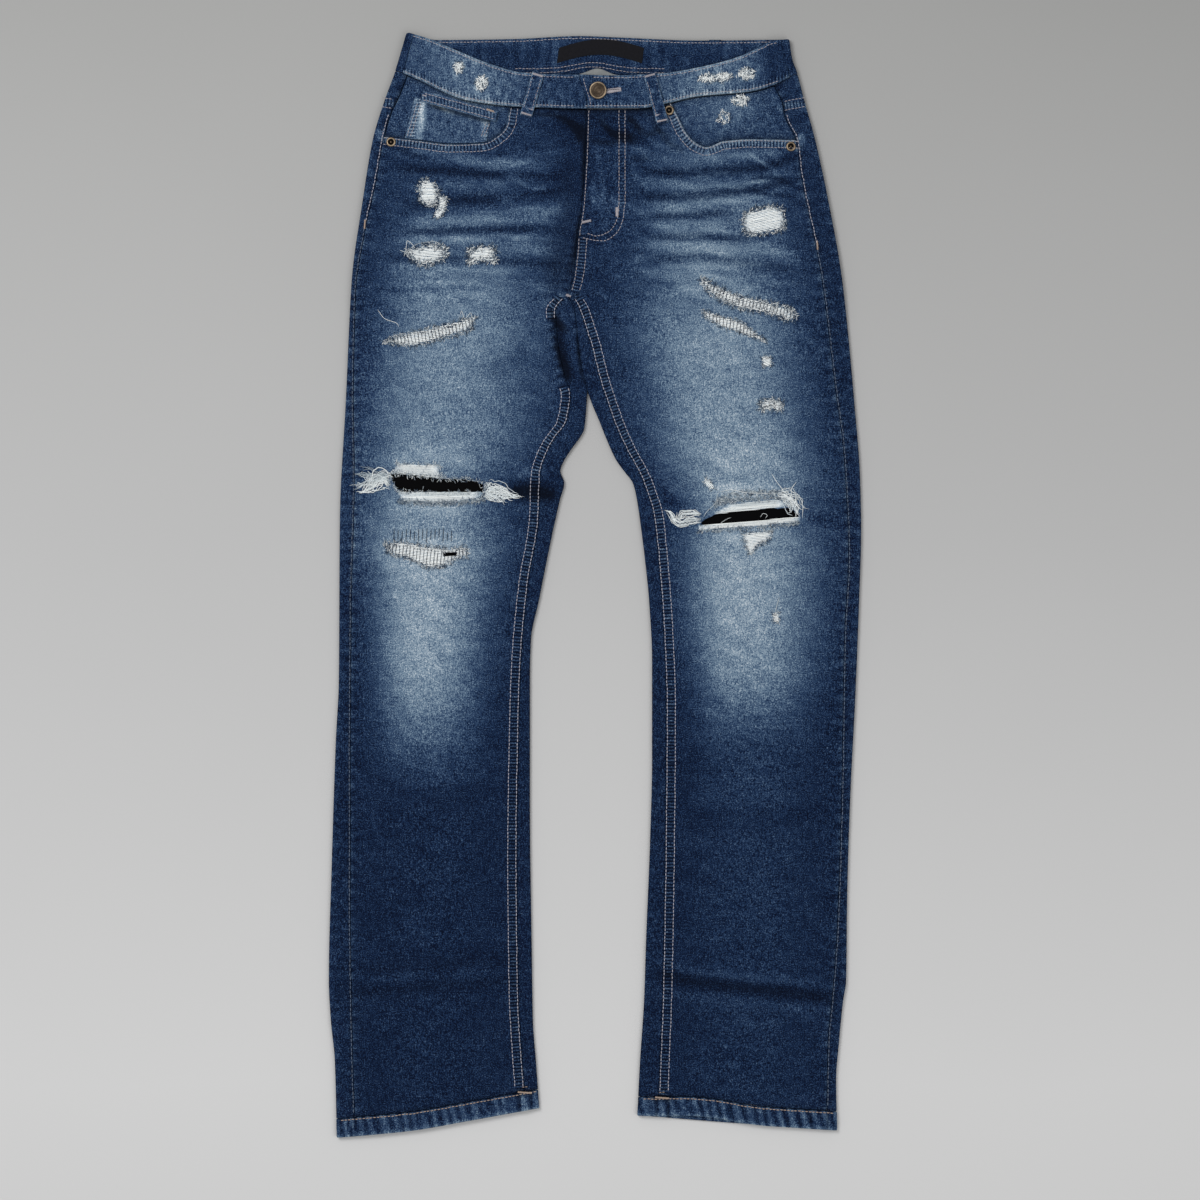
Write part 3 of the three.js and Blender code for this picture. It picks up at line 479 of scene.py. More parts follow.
def worn_with_painted_folds(x, y):
    """The wash of the front of the garment, with its whiskers, rips and rubbed seams, and painted light on its swells
    and painted shade in its folds.
    """
    wash = fade_at(x, y)
    hips = smooth(262, 300, y)
    ridges, troughs = strokes(RIDGES, x, y), strokes(TROUGHS, x, y)
    wash = wash + (0.19 * ridges - 0.2 * troughs) * (0.45 + 0.55 * hips)
    # Painted light and shade: the swells are made paler and the folds darker.
    wash += 0.14 * strokes(SWELLS, x, y) - 0.2 * strokes(FOLDS, x, y)
    wash += 0.05 * rough(x, 2.2 * y, 46, 11) * (0.3 + wash) + 0.02 * rough(x, y, 18, 12)
    lean = y + 0.1 * np.abs(x) * np.sign(x)
    wash += 0.07 * hips * rough(0.3 * x, 2.1 * lean, 26, 13) * smooth(0.02, 0.3, wash)
    wash += strokes(CREASES, x, y)
    for leg in LEGS:
        mine = (x < centre_front(y)) if leg.inward > 0 else (x > centre_front(y))
        seams = SEAMS[leg.name]
        edge = 0.13 * roping(seams["out"], x, y, 6, 12, 21) + 0.1 * roping(seams["edge"], x, y, 5, 13, 23)
        edge += 0.1 * roping(seams["in"], x, y, 4, 9.5, 22) + 0.1 * roping(seams["inner_edge"], x, y, 4, 12, 24)
        away, _, _ = near(seams["mouth"], x, y)
        edge += 0.42 * np.exp(-((away / 1.9) ** 2)) + 0.08 * np.exp(-(((away - 5) / 3) ** 2))
        away, _, _ = near(seams["out"], x, y)
        edge += np.where((x - leg.outseam(y)) * leg.inward > 0, 0.16, 0) * np.exp(-((away / 2.2) ** 2))
        away, _, _ = near(seams["edge"], x, y)
        edge += 0.1 * np.exp(-((away / 4) ** 2))
        wash += np.where(mine, edge, 0)
    wash += 0.12 * roping(RISE_SEAM, x, y, 5, 9, 25)
    wash = wash + strokes(BARE, x, y)
    return np.maximum(wash, rubbed_white(x, y) + 0.2 * wash)


FLY_BEND = [(26, 376), (21, 362), (12, 353), (0, 347), (-12, 348)]
# The darkest hollows, as (line, half width, strength).
SHADOWS = [
    ([(-44, 274), (-37, 262), (-26, 251)], 4.2, 0.95), ([(-42, 247), (-36, 232), (-31, 218)], 2.6, 0.85),
    ([(-36, 232), (-29, 212), (-26, 200)], 3.8, 0.95), ([(-19, 258), (-16, 230), (-14, 212), (-6, 192)], 2.0, 0.8),
    ([(-40, 468), (-26, 463), (-14, 452)], 4, 0.8), ([(-26, 460), (-15, 456), (-14, 440)], 5, 0.85),
    ([(-9, 470), (-10, 440), (-13, 385)], 3.0, 0.7), ([(3, 473), (8, 460), (18, 451), (34, 449), (44, 455)], 3.4, 0.85),
    ([(30, 470), (40, 460), (50, 449)], 3.6, 0.85), ([(-8, 444), (10, 441), (26, 441)], 3.2, 0.6),
    ([(54, 466), (66, 452), (78, 444)], 3, 0.5), ([(30, 430), (44, 425), (58, 428)], 3, 0.35),
    ([(-70, 472), (-46, 469), (-26, 467)], 2.2, 0.7),
    ([(-14, 380), (-18, 345), (-28, 300)], 3.2, 0.6),
    ([(12, 453), (24, 447), (38, 444), (46, 448)], 5, 0.85), ([(46, 448), (58, 452), (68, 457)], 3.4, 0.55),
    ([(-22, 462), (-15, 450), (-11, 443)], 5, 0.8), ([(-88, 95), (-66, 95), (-52, 93), (-36, 88)], 3.6, 0.9), ([(62, 448), (76, 440), (92, 432)], 2.6, 0.4),
]


def pleats_at(x, y):
    """Stitching gathers the cloth between its rows: how far along them a point is, and how gathered."""
    run, pleat = np.zeros(np.shape(x)), np.zeros(np.shape(x))
    rows = [(line_of(centre_front, 350, 292, 6), 0, 4.0, 0.9), ([(27, 474), (27, 400), (26, 376)], 0, 2.6, 0.5),
            (FLY_BEND, 0, 2.8, 0.5), ([(-215, 483), (-199, 481)], 0, 4.2, 0.8), ([(187, 478), (212, 482)], 0, 4.0, 0.8)]
    for leg in LEGS:
        seams = SEAMS[leg.name]
        rows += [(seams["in"], 0, 4.6, 1.0), (seams["out"], 3.0, 2.2, 0.22), (seams["mouth"], 4.4, 3.2, 0.95)]
    rolled_under = (x < -20) & (y < 264) & (y > 200)
    for line, middle, half, strength in rows:
        away, along, _ = near(line, x, y)
        mine = strength * np.exp(-(((away - middle) / half) ** 4))
        run = np.where(mine > pleat, along, run)
        pleat = np.maximum(pleat, mine)
    return run, np.where(rolled_under, 0, pleat)


def dirt(x, y):
    """Painted shade, 0 to 1: dark in the folds and creases, the whisker troughs and the seams' puckers, along the
    seams, above the hems and under the waistband.
    """
    shade = 0.9 * strokes(FOLDS[1:2], x, y) + 0.35 * strokes(FOLDS[2:5] + FOLDS[:1], x, y)
    # Painted shadows in the darkest hollows.
    shade += strokes(SHADOWS, x, y, 3) * (1 + 0.12 * rough(x, y, 9, 91))
    for leg in LEGS:
        away, along, _ = near(SEAMS[leg.name]["in"], x, y)
        beat = np.sin(2 * np.pi * along / 9.5 + rough(along, 0 * along, 50, 3))
        shade += 0.5 * np.exp(-((away / 3.6) ** 4)) * np.clip(-beat, 0, 1)
    shade += 0.3 * strokes(TROUGHS, x, y)
    # Painted shadow under the front waistband.
    away, _, _ = near([(x_, float(waist_seam(x_))) for x_ in np.linspace(-100, 80, 20)], x, y)
    under_band = 0.55 * np.exp(-((away / 9) ** 2)) * smooth(-60, -20, x) * (1 - smooth(70, 90, x))
    for leg in LEGS:
        # Painted shadow along each outseam, darker beside the overlapping front.
        away, along, _ = near(SEAMS[leg.name]["out"], x, y)
        outside = (x - leg.outseam(y)) * leg.inward < 0
        beads = 0.75 + 0.25 * np.sin(2 * np.pi * along / 9 + rough(along, 0 * along, 40, 5))
        shade += np.where(outside, 0.62 * beads, 0.15) * np.exp(-((away / 2.8) ** 2))
    # A painted shadow line along the waist seam.
    away, _, _ = near([(x_, float(waist_seam(x_))) for x_ in np.linspace(-190, 190, 40)], x, y)
    shade += 0.75 * np.exp(-((away / 2.6) ** 2))
    for leg in LEGS:
        # Painted shadow along the top of each hem.
        above_hem = y - tilt(leg)(leg.low + HEM_HEIGHT, x)
        join = np.exp(-(((x - leg.inseam(leg.low) + 4 * leg.inward) / 12) ** 4))
        on_leg = (x - centre_front(y)) * leg.inward < 0
        shade += np.where(on_leg, (0.4 + 0.5 * join) * np.exp(-((above_hem / 2.6) ** 2)), 0)
    # Painted shadow along the fly's edge.
    away, _, _ = near(line_of(centre_front, 474, 296), x, y)
    shade += 0.4 * np.exp(-((away / 2.2) ** 2)) * (y > 290)
    # Painted shade in the hollows to the wearer's right of the fly.
    rise = 0.34 * np.exp(-(((x + 38) / 13) ** 2) - ((y - 318) / 45) ** 2)
    rise += 0.22 * np.exp(-(((x + 27) / 9) ** 2) - ((y - 385) / 50) ** 2)
    shade += rise
    return np.clip(shade + under_band, 0, 1)


# ------------------------------------------------------------------ finishes
class Value:
    """A value on its way through a finish; arithmetic on it adds the nodes that work it out."""

    def __init__(self, finish, socket):
        self.finish = finish
        self.socket = socket

    def _math(self, operation, *values):
        return self.finish.node("Math", {"operation": operation}, dict(enumerate(values)))

    def __add__(self, other):
        return self._math("ADD", self, other)

    def __sub__(self, other):
        return self._math("SUBTRACT", self, other)

    def __rsub__(self, other):
        return self._math("SUBTRACT", other, self)

    def __mul__(self, other):
        return self._math("MULTIPLY", self, other)

    def __truediv__(self, other):
        return self._math("DIVIDE", self, other)

    def __rtruediv__(self, other):
        return self._math("DIVIDE", other, self)

    def __pow__(self, other):
        return self._math("POWER", self, other)

    __radd__ = __add__
    __rmul__ = __mul__

    def sine(self):
        return self._math("SINE", self)

    def clamped(self):
        return self._math("MINIMUM", self._math("MAXIMUM", self, 0.0), 1.0)


class Finish:
    """One procedural material, built a node at a time."""

    def __init__(self, name):
        self.material = bpy.data.materials.new(name)
        self.material.use_nodes = True
        self.tree = self.material.node_tree
        self.tree.nodes.clear()
        self.shader = self.tree.nodes.new("ShaderNodeBsdfPrincipled")
        ending = self.tree.nodes.new("ShaderNodeOutputMaterial")
        self.tree.links.new(self.shader.outputs[0], ending.inputs[0])

    def node(self, kind, settings=None, values=None, out=0):
        """A node of any kind: its settings first, then the values or links of its sockets."""
        made = self.tree.nodes.new("ShaderNode" + kind)
        for name, value in (settings or {}).items():
            if name == "stops":
                self._stops(made.color_ramp, value)
            else:
                setattr(made, name, value)
        for name, value in (values or {}).items():
            self._feed(made.inputs[name], value)
        return Value(self, made.outputs[out])

    def _feed(self, socket, value):
        if isinstance(value, Value):
            self.tree.links.new(value.socket, socket)
        else:
            socket.default_value = value

    @staticmethod
    def _stops(ramp, stops):
        while len(ramp.elements) < len(stops):
            ramp.elements.new(0.5)
        for element, (at, colour) in zip(ramp.elements, stops):
            element.position = at
            element.color = (*colour, 1)

    def shade(self, **values):
        for name, value in values.items():
            self._feed(self.shader.inputs[name.replace("_", " ")], value)

    def place(self):
        """Where a point of the cloth is, in millimetres."""
        spot = self.node("TexCoord", out=3)
        return self.node("VectorMath", {"operation": "MULTIPLY"}, {0: spot, 1: (1000, 1000, 1000)})

    def noise(self, place, scale, stretch=(1, 1, 1), detail=2.0, distortion=0.0):
        """Fractal noise from 0 to 1, with lumps of about 1 / scale millimetres."""
        vector = self.node("VectorMath", {"operation": "MULTIPLY"}, {0: place, 1: stretch})
        values = {"Vector": vector, "Scale": scale, "Detail": detail, "Distortion": distortion}
        return self.node("TexNoise", {}, values)

    def ramp(self, value, stops):
        return self.node("ValToRGB", {"stops": stops}, {"Fac": value})

    def mix(self, share, first, second, blend="MIX"):
        settings = {"data_type": "RGBA", "blend_type": blend}
        return self.node("Mix", settings, {0: share, 6: first, 7: second}, out=2)

    def carried(self, name):
        """A number that the cloth's own points carry."""
        return self.node("Attribute", {"attribute_name": name}, out=2)

    def bump(self, height, distance, strength=1.0):
        values = {"Height": height, "Distance": distance, "Strength": strength}
        self.shade(Normal=self.node("Bump", {}, values))


def tone(red, green, blue):
    """A colour from how it looks on a screen, 0 to 255, as the light that it reflects."""
    return tuple(round(((c / 255 + 0.055) / 1.055) ** 2.4, 4) for c in (red, green, blue))


def denim_finish(name, stops, depth=1.0):
    """Washed twill: pale slubs and flecks in the warp, and a fine diagonal rib, mixed towards near-black indigo by
    painted shade.
    """
    f = Finish(name)
    place = f.place()
    split = f.node("SeparateXYZ", {}, {0: place})
    down = f.node("SeparateXYZ", {}, {0: place}, out=1)
    rib = ((split * 4.6 + down * 3.4).sine() + 1) * 0.5
    slub = f.noise(place, 0.8, (1, 0.2, 1), 3)
    weft = f.noise(place, 0.75, (0.2, 1, 1), 2)
    fleck = f.noise(place, 1.05, (1, 0.85, 1), 3)
    cloud = f.noise(place, 0.03, (1, 1.4, 1), 3)
    # The carried wash also holds painted light on the front's swells and painted shade in its folds.
    wash = f.carried("wash")
    lively = 0.82 - wash * 0.3
    uneven = (slub - 0.5) * 0.5 + (weft - 0.5) * 0.32 + (fleck - 0.5) * 1.8
    pleat = f.carried("pleat")
    tick = ((f.carried("run") + fleck * 1.6) * (2 * math.pi / TICK)).sine() * pleat
    uneven = uneven + (rib - 0.5) * 0.14 + (cloud - 0.5) * 0.18 + tick * 0.26
    colour = f.ramp((0.078 + wash * 0.945 + uneven * lively).clamped(), stops)
    # Painted shade: the carried painted shade and the troughs of the stitched pleats mix the colour towards near-black
    # indigo.
    hollow = f.carried("dirt") * 0.85 + (tick * -0.75 - 0.12 * pleat).clamped() * 0.8
    colour_with_painted_shade = f.mix(hollow.clamped(), colour, (*tone(4, 9, 20), 1))
    f.shade(Base_Color=colour_with_painted_shade, Roughness=0.8 + fleck * 0.2, Specular_IOR_Level=0.06)
    f.bump(rib * 0.4 + slub * 0.9 + fleck * 1.1 + tick * 0.8, 0.0004, 0.6 * depth)
    return f.material


INDIGO = [
    (0.0, tone(3, 12, 32)), (0.11, tone(14, 30, 57)), (0.24, tone(26, 46, 76)), (0.42, tone(57, 78, 105)),
    (0.62, tone(104, 125, 144)), (0.8, tone(150, 165, 177)), (1.0, tone(216, 219, 221)),
]
denim = denim_finish("washed_indigo_twill", INDIGO)


def thread_finish(name, first, second, rough_from=0.7):
    """Twisted cotton thread: a fine spiral of light and dark."""
    f = Finish(name)
    place = f.place()
    ply = f.noise(place, 1.6, (1, 1, 1), 2)
    fade = f.noise(place, 0.05, (1, 1, 1), 2)
    colour = f.mix((ply * 0.7 + fade * 0.6 - 0.15).clamped(), (*first, 1), (*second, 1))
    f.shade(Base_Color=colour, Roughness=rough_from + ply * 0.25, Specular_IOR_Level=0.3)
    f.bump(ply, 0.0003, 0.5)
    return f.material


tan_thread = thread_finish("tan_topstitch", tone(124, 122, 132), tone(188, 182, 184))
grey_thread = thread_finish("grey_topstitch", tone(124, 126, 142), tone(198, 196, 204))
faint_thread = thread_finish("faint_side_stitch", tone(56, 74, 100), tone(116, 128, 146))
orange_thread = thread_finish("orange_bartack", tone(126, 110, 104), tone(196, 176, 158))


def fray_finish():
    """Frayed cotton: each strand carries how blue it is."""
    f = Finish("frayed_cotton")
    place = f.place()
    ply = f.noise(place, 1.1, (1, 1, 1), 3)
    stops = [(0.0, tone(240, 243, 242)), (0.36, tone(186, 197, 203)), (0.7, tone(66, 86, 110)), (1.0, tone(20, 32, 52))]
    colour = f.ramp((f.carried("blue") + (ply - 0.5) * 0.35).clamped(), stops)
    f.shade(Base_Color=colour, Roughness=0.8 + ply * 0.15, Specular_IOR_Level=0.2)
    f.bump(ply, 0.0002, 0.4)
    return f.material


frayed = fray_finish()


def woven_finish(name, dark, pale, scale=1.4):
    """Plain-woven cotton."""
    f = Finish(name)
    place = f.place()
    warp = f.noise(place, scale, (1, 0.15, 1), 2)
    weft = f.noise(place, scale, (0.15, 1, 1), 2)
    weave = warp * 0.5 + weft * 0.5
    colour = f.mix(weave, (*dark, 1), (*pale, 1))
    f.shade(Base_Color=colour, Roughness=0.75 + weave * 0.2, Specular_IOR_Level=0.03)
    f.bump(weave, 0.0003, 0.5)
    return f.material


# Black cotton for the knee backings, also used as painted shadow where its strands fill slits.
black_cloth_and_slit_shadow = woven_finish("black_knee_cotton_and_slit_shadow", tone(1, 1, 2), tone(9, 9, 11))
label_cloth = woven_finish("black_label_satin", tone(10, 10, 12), tone(34, 34, 38), 2.2)
grey_cloth = woven_finish("pale_band_facing", tone(84, 88, 91), tone(142, 144, 143), 0.9)


def brass_finish():
    """Antiqued brass: dark in its hollows, rubbed bright on its rims."""
    f = Finish("antiqued_brass")
    place = f.place()
    patina = f.noise(place, 0.35, (1, 1, 1), 4, 0.4)
    fine = f.noise(place, 2.0, (1, 1, 1), 3)
    stops = [(0.12, tone(10, 8, 8)), (0.34, tone(52, 44, 37)), (0.56, tone(86, 74, 62)), (0.8, tone(158, 141, 118))]
    rubbed = patina * 0.35 + fine * 0.15 + f.carried("rub") * 0.55
    f.shade(Base_Color=f.ramp(rubbed, stops), Metallic=0.85 + patina * 0.15,
            Roughness=0.34 + fine * 0.25)
    f.bump(patina * 0.5 + fine, 0.0002, 0.35)
    return f.material


brass = brass_finish()


# ------------------------------------------------------------------ making meshes
def mesh_of(name, points, quads, finish, carried=None, soft=True):
    """A mesh from points in millimetres and four-sided faces, with numbers carried at its points."""
    points = np.asarray(points, float).reshape(-1, 3)
    quads = np.asarray(quads, np.int32).reshape(-1, 4)
    used = np.unique(quads)
    place = np.full(len(points), -1, np.int32)
    place[used] = np.arange(len(used), dtype=np.int32)
    quads = place[quads]
    mesh = bpy.data.meshes.new(name)
    mesh.vertices.add(len(used))
    mesh.vertices.foreach_set("co", (points[used] * MM).astype(np.float32).ravel())
    mesh.loops.add(quads.size)
    mesh.loops.foreach_set("vertex_index", quads.ravel())
    mesh.polygons.add(len(quads))
    mesh.polygons.foreach_set("loop_start", np.arange(0, quads.size, 4, dtype=np.int32))
    mesh.polygons.foreach_set("loop_total", np.full(len(quads), 4, np.int32))
    mesh.polygons.foreach_set("use_smooth", np.full(len(quads), soft))
    for key, values in (carried or {}).items():
        layer = mesh.attributes.new(key, "FLOAT", "POINT")
        layer.data.foreach_set("value", np.asarray(values, np.float32).ravel()[used])
    mesh.update(calc_edges=True)
    mesh.materials.append(finish)
    made = bpy.data.objects.new(name, mesh)
    bpy.context.collection.objects.link(made)
    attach(made, "root")
    return made


def grid_quads(rows, columns, ring=False, loop=False):
    """The faces of a grid of points; a ring closes its columns and a loop its rows."""
    i = np.arange(rows if loop else rows - 1)
    j = np.arange(columns if ring else columns - 1)
    i, j = (a.ravel() for a in np.meshgrid(i, j, indexing="ij"))
    k, m = (i + 1) % rows, (j + 1) % columns
    return np.stack([i * columns + j, i * columns + m, k * columns + m, k * columns + j], axis=1)


def torn(polygon, seed, jag=1.3):
    """A torn edge: a polygon's outline drawn finely and made uneven."""
    p = evenly(polygon + polygon[:1], 2.0)[:-1]
    draw = np.random.default_rng(seed)
    return [tuple(q) for q in p + draw.normal(0, jag * 0.45, p.shape)]


def cut_out(x, y, quads, polygon):
    """Draws grid points on to a polygon's outline and drops the faces within it."""
    shape = x.shape
    flat_x, flat_y = x.ravel().copy(), y.ravel().copy()
    edge = np.array(polygon + polygon[:1])
    span = (flat_x > edge[:, 0].min() - 4) & (flat_x < edge[:, 0].max() + 4)
    span &= (flat_y > edge[:, 1].min() - 4) & (flat_y < edge[:, 1].max() + 4)
    spots = np.flatnonzero(span)
    px, py = flat_x[spots], flat_y[spots]
    best = np.full(len(spots), 1e9)
    to_x, to_y = px.copy(), py.copy()
    for (ax, ay), (bx, by) in zip(edge[:-1], edge[1:]):
        dx, dy = bx - ax, by - ay
        t = np.clip(((px - ax) * dx + (py - ay) * dy) / max(dx * dx + dy * dy, 1e-9), 0, 1)
        qx, qy = ax + t * dx, ay + t * dy
        away = np.hypot(px - qx, py - qy)
        closer = away < best
        best = np.where(closer, away, best)
        to_x, to_y = np.where(closer, qx, to_x), np.where(closer, qy, to_y)
    snap = best < PITCH * 0.62
    within = np.zeros(flat_x.size, bool)
    within[spots] = inside(polygon, px, py) | snap
    flat_x[spots[snap]], flat_y[spots[snap]] = to_x[snap], to_y[snap]
    keep = ~within[quads].all(axis=1)
    return flat_x.reshape(shape), flat_y.reshape(shape), quads[keep]


def whole(points, quads):
    """The faces that have some area."""
    p = np.asarray(points).reshape(-1, 3)[quads]
    area = np.linalg.norm(np.cross(p[:, 2] - p[:, 0], p[:, 3] - p[:, 1]), axis=1)
    return quads[area > 1e-4]


def tucked(x, y, z, drop=1.1, sides=(True, True, True, True)):
    """Turns a sheet's edges down, as cut cloth shows its thickness: low row, high row, first, last."""
    stack = [a for a in (x, y, z)]
    for axis, (first, last) in ((0, sides[:2]), (1, sides[2:])):
        for at_end, wanted in ((False, first), (True, last)):
            if not wanted:
                continue
            new = []
            for k, a in enumerate(stack):
                edge = np.take(a, [-1 if at_end else 0], axis=axis)
                edge = edge - drop if k == 2 else edge
                new.append(np.concatenate([a, edge] if at_end else [edge, a], axis=axis))
            stack = new
    return stack


def stand_for(made, slot, *nodes):
    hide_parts(*nodes)
    return made


# ------------------------------------------------------------------ leg panels
def front_panel(leg):
    d = leg.inward
    mouth = through(*leg.mouth)
    mouth_end = leg.mouth[-1][0]
    top_row = 480

    def top_edge(x):
        beyond = (x - mouth_end) * d < 0
        return np.where(beyond, mouth(x), waist_seam(x) - GAP)

    def bend(row, x):
        up = np.clip((row - 400) / (top_row - 400), 0, 1)
        return tilt(leg)(row, x) * (1 - (up > 0)) + (up > 0) * (400 + (top_edge(x) - 400) * up)

    def start(y):
        return leg.outseam(np.minimum(y, leg.mouth[0][1])) + d * GAP / 2

    def end(y):
        return np.where(y > CROTCH, centre_front(y), leg.inseam(y)) - d * GAP / 2

    rows = np.arange(leg.low + HEM_HEIGHT, top_row + 0.1, PITCH)
    columns = np.linspace(0, 1, int(230 / PITCH))
    x, y = across(rows, start, end, columns, bend)
    quads = grid_quads(*x.shape)
    x, y, quads = cut_out(x, y, quads, torn(KNEES[leg.name], 40 + d))
    z = top_at(x, y) + seam_relief(leg, x, y)
    wash, shade = worn_with_painted_folds(x, y), dirt(x, y)
    rim = [z[0], z[-1]]
    z[0], z[-1] = z[0] - 0.9, z[-1] - 0.9
    z[:, 0], z[:, -1] = z[:, 0] - 0.9, z[:, -1] - 0.9
    del rim
    points = np.stack([x, y, z], axis=-1)
    run, pleat = pleats_at(x, y)
    carried = {"wash": wash, "dirt": shade, "run": run, "pleat": pleat}
    made = mesh_of(f"denim_front_{leg.name}", points, quads, denim, carried)
    stand_for(made, "denim", f"front_{leg.name}")
    return made


def seam_relief(leg, x, y):
    """Ridges of the seams' turned cloth, puckered by their stitching."""
    d = leg.inward
    seams = SEAMS[leg.name]
    away, along, _ = near(seams["in"], x, y)
    felled = np.exp(-((away / 5.5) ** 4))
    relief = 0.5 * felled + 0.16 * felled * np.sin(2 * np.pi * along / 9.5 + rough(along, 0 * along, 50, 3))
    away, along, _ = near(seams["out"], x, y)
    pucker = np.sin(2 * np.pi * along / 12 + 1.5 * rough(along, 0 * along, 70, 4))
    ridge = np.exp(-((away / 5) ** 2))
    relief = relief + ridge * (0.35 + 0.2 * pucker)
    return relief


def wrap(leg, rows, bend_top, bend_low, height, inner_turn, columns=(7, 6, 26, 6, 12), margin=None):
    """A piece folded round a leg's outer edge, along the floor and up its inner edge: (rows, n, 3)."""
    d = leg.inward
    strip, arc, floor, heel, inner_strip = columns
    gap = GAP / 2 if margin is None else margin

    def start(y):
        return leg.outseam(y) - d * gap

    def radius(y):
        return (height(leg.outer(y), y) - lift(y)) / 2

    def shoulder(y):
        return leg.outer(y) + d * radius(y)

    def meets(y):
        low = leg.inner(y) - d * radius(y)
        return np.where(y < CROTCH, low, centre_back(y) - d * GAP / 2) if inner_turn else (
            centre_back(y) - d * GAP / 2)

    x, y = across(rows, start, shoulder, np.linspace(0, 1, strip), bend_top)
    parts = [np.stack([x, y, height(x, y)], axis=-1)]
    _, low_y = across(rows, start, shoulder, np.array([1.0]), bend_low)
    turn = np.linspace(0, 1, arc + 1)[1:]
    edge_y = y[:, -1:] + (low_y - y[:, -1:]) * turn
    r = radius(y[:, -1:])
    parts.append(np.stack([x[:, -1:] - d * np.sin(np.pi * turn) * r, edge_y,
                           lift(edge_y) + r + np.cos(np.pi * turn) * r], axis=-1))
    x, y = across(rows, shoulder, meets, np.linspace(0, 1, floor + 1)[1:], bend_low)
    parts.append(np.stack([x, y, lift(y)], axis=-1))
    if inner_turn:
        full = (rows < CROTCH)[:, None] * 1.0
        _, high_y = across(rows, shoulder, meets, np.array([1.0]), bend_top)
        turn = np.linspace(0, 1, heel + 1)[1:] * full
        edge_y = y[:, -1:] + (high_y - y[:, -1:]) * turn
        r = radius(y[:, -1:])
        parts.append(np.stack([x[:, -1:] + d * np.sin(np.pi * turn) * r, edge_y,
                               lift(edge_y) + r - np.cos(np.pi * turn) * r], axis=-1))
        heel_x = x[:, -1:]

        def seam(v):
            return leg.inseam(v) + d * gap

        sx, sy = across(rows, lambda v: leg.inner(v) - d * radius(v), seam,
                        np.linspace(0, 1, inner_strip + 1)[1:], bend_top)
        strip_at = np.stack([sx, sy, height(sx, sy)], axis=-1)
        stay = np.concatenate([heel_x + 0 * sx, y[:, -1:] + 0 * sx, lift(y[:, -1:]) + 0 * sx], axis=1)
        stay = stay.reshape(len(rows), 3, -1).transpose(0, 2, 1)
        parts.append(np.where(full[:, :, None] > 0, strip_at, stay))
    return np.concatenate(parts, axis=1)


def hidden_wash(x, y):
    """The wash of the underside: a pale seat and pale backs of the knees."""
    total = np.zeros(np.shape(x))
    for leg in LEGS:
        mid = (leg.outer(y) + leg.inner(y)) / 2
        wide = np.abs(leg.outer(y) - leg.inner(y)) / 3.2
        band = np.exp(-(((x - mid) / wide) ** 2))
        total = np.maximum(total, band * (0.45 * smooth(160, 330, y) + 0.25 * np.exp(-((y - 60) / 90) ** 2)))
    total += 0.12 * np.sin(y / 7.5 + 1.2 * rough(x, y, 80, 31)) * np.exp(-((y - 110) / 60) ** 2)
    return total + 0.05 * rough(x, y, 40, 32)


def lay_back(name, leg, grid, slot, nodes):
    x, y, z = grid[..., 0], grid[..., 1], grid[..., 2].copy()
    above = z > lift(y) + EDGE_HEIGHT * 0.45
    upper = smooth(0.45, 0.8, (z - lift(y)) / EDGE_HEIGHT)
    z += np.where(above, seam_relief(leg, x, y) * upper, 0)
    z[:, 0] -= 0.9
    wash = np.where(above, worn_with_painted_folds(x, y) * 0.9, 0) + np.where(above, 0, hidden_wash(x, y))
    shade = np.where(above, dirt(x, y), 0)
    points = np.stack([x, y, z], axis=-1)
    quads = whole(points, grid_quads(*x.shape))
    run, pleat = pleats_at(x, y)
    carried = {"wash": wash, "dirt": shade, "run": run, "pleat": np.where(above, pleat, 0)}
    made = mesh_of(name, points, quads, denim, carried)
    stand_for(made, slot, *nodes)
    return made


def back_panel(leg):
    def bend(layer):
        def rule(row, x):
            high = np.clip((row - 370) / (YOKE_SIDE - 370), 0, 1)
            return tilt(leg, layer)(row, x) + high * (yoke_seam(x) - GAP / 2 - YOKE_SIDE)

        return rule

    rows = np.concatenate([np.arange(leg.low + HEM_HEIGHT, CROTCH - 1, 2.6), np.arange(CROTCH - 0.5, YOKE_SIDE, 2.6),
                           [YOKE_SIDE]])
    grid = wrap(leg, rows, bend("top"), bend("low"), cloth_at, True)
    return lay_back(f"denim_back_{leg.name}", leg, grid, "denim", [f"back_{leg.name}"])


def yoke(leg):
    def bend_top(row, x):
        low = yoke_seam(x) + GAP / 2
        return low + (np.minimum(back_seam(x), waist_seam(x)) - GAP - low) * row

    def bend_low(row, x):
        low = yoke_seam(x) + GAP / 2
        return low + (back_seam(x) - GAP - low) * row

    rows = np.linspace(0, 1, 26)
    grid = wrap(leg, rows, bend_top, bend_low, cloth_at, False)
    grid[0, :, 2] -= 0.0
    return lay_back(f"denim_yoke_{leg.name}", leg, grid, "denim", [f"yoke_{leg.name}"])


for leg in LEGS:
    front_panel(leg)
    back_panel(leg)
    yoke(leg)


# ------------------------------------------------------------------ turned bands
PROFILE = [(0, -0.5), (0.006, -0.18), (0.03, 0.0), (0.1, 0.05), (0.2, 0.03), (0.3, 0.0), (0.42, 0.02), (0.5, 0.04),
           (0.6, 0.02), (0.7, 0.0), (0.8, 0.03), (0.9, 0.05), (0.97, 0.0), (0.994, -0.18), (1, -0.5),
           (0.994, -0.85), (0.95, -1), (0.7, -1), (0.4, -1), (0.1, -1), (0.006, -0.85)]


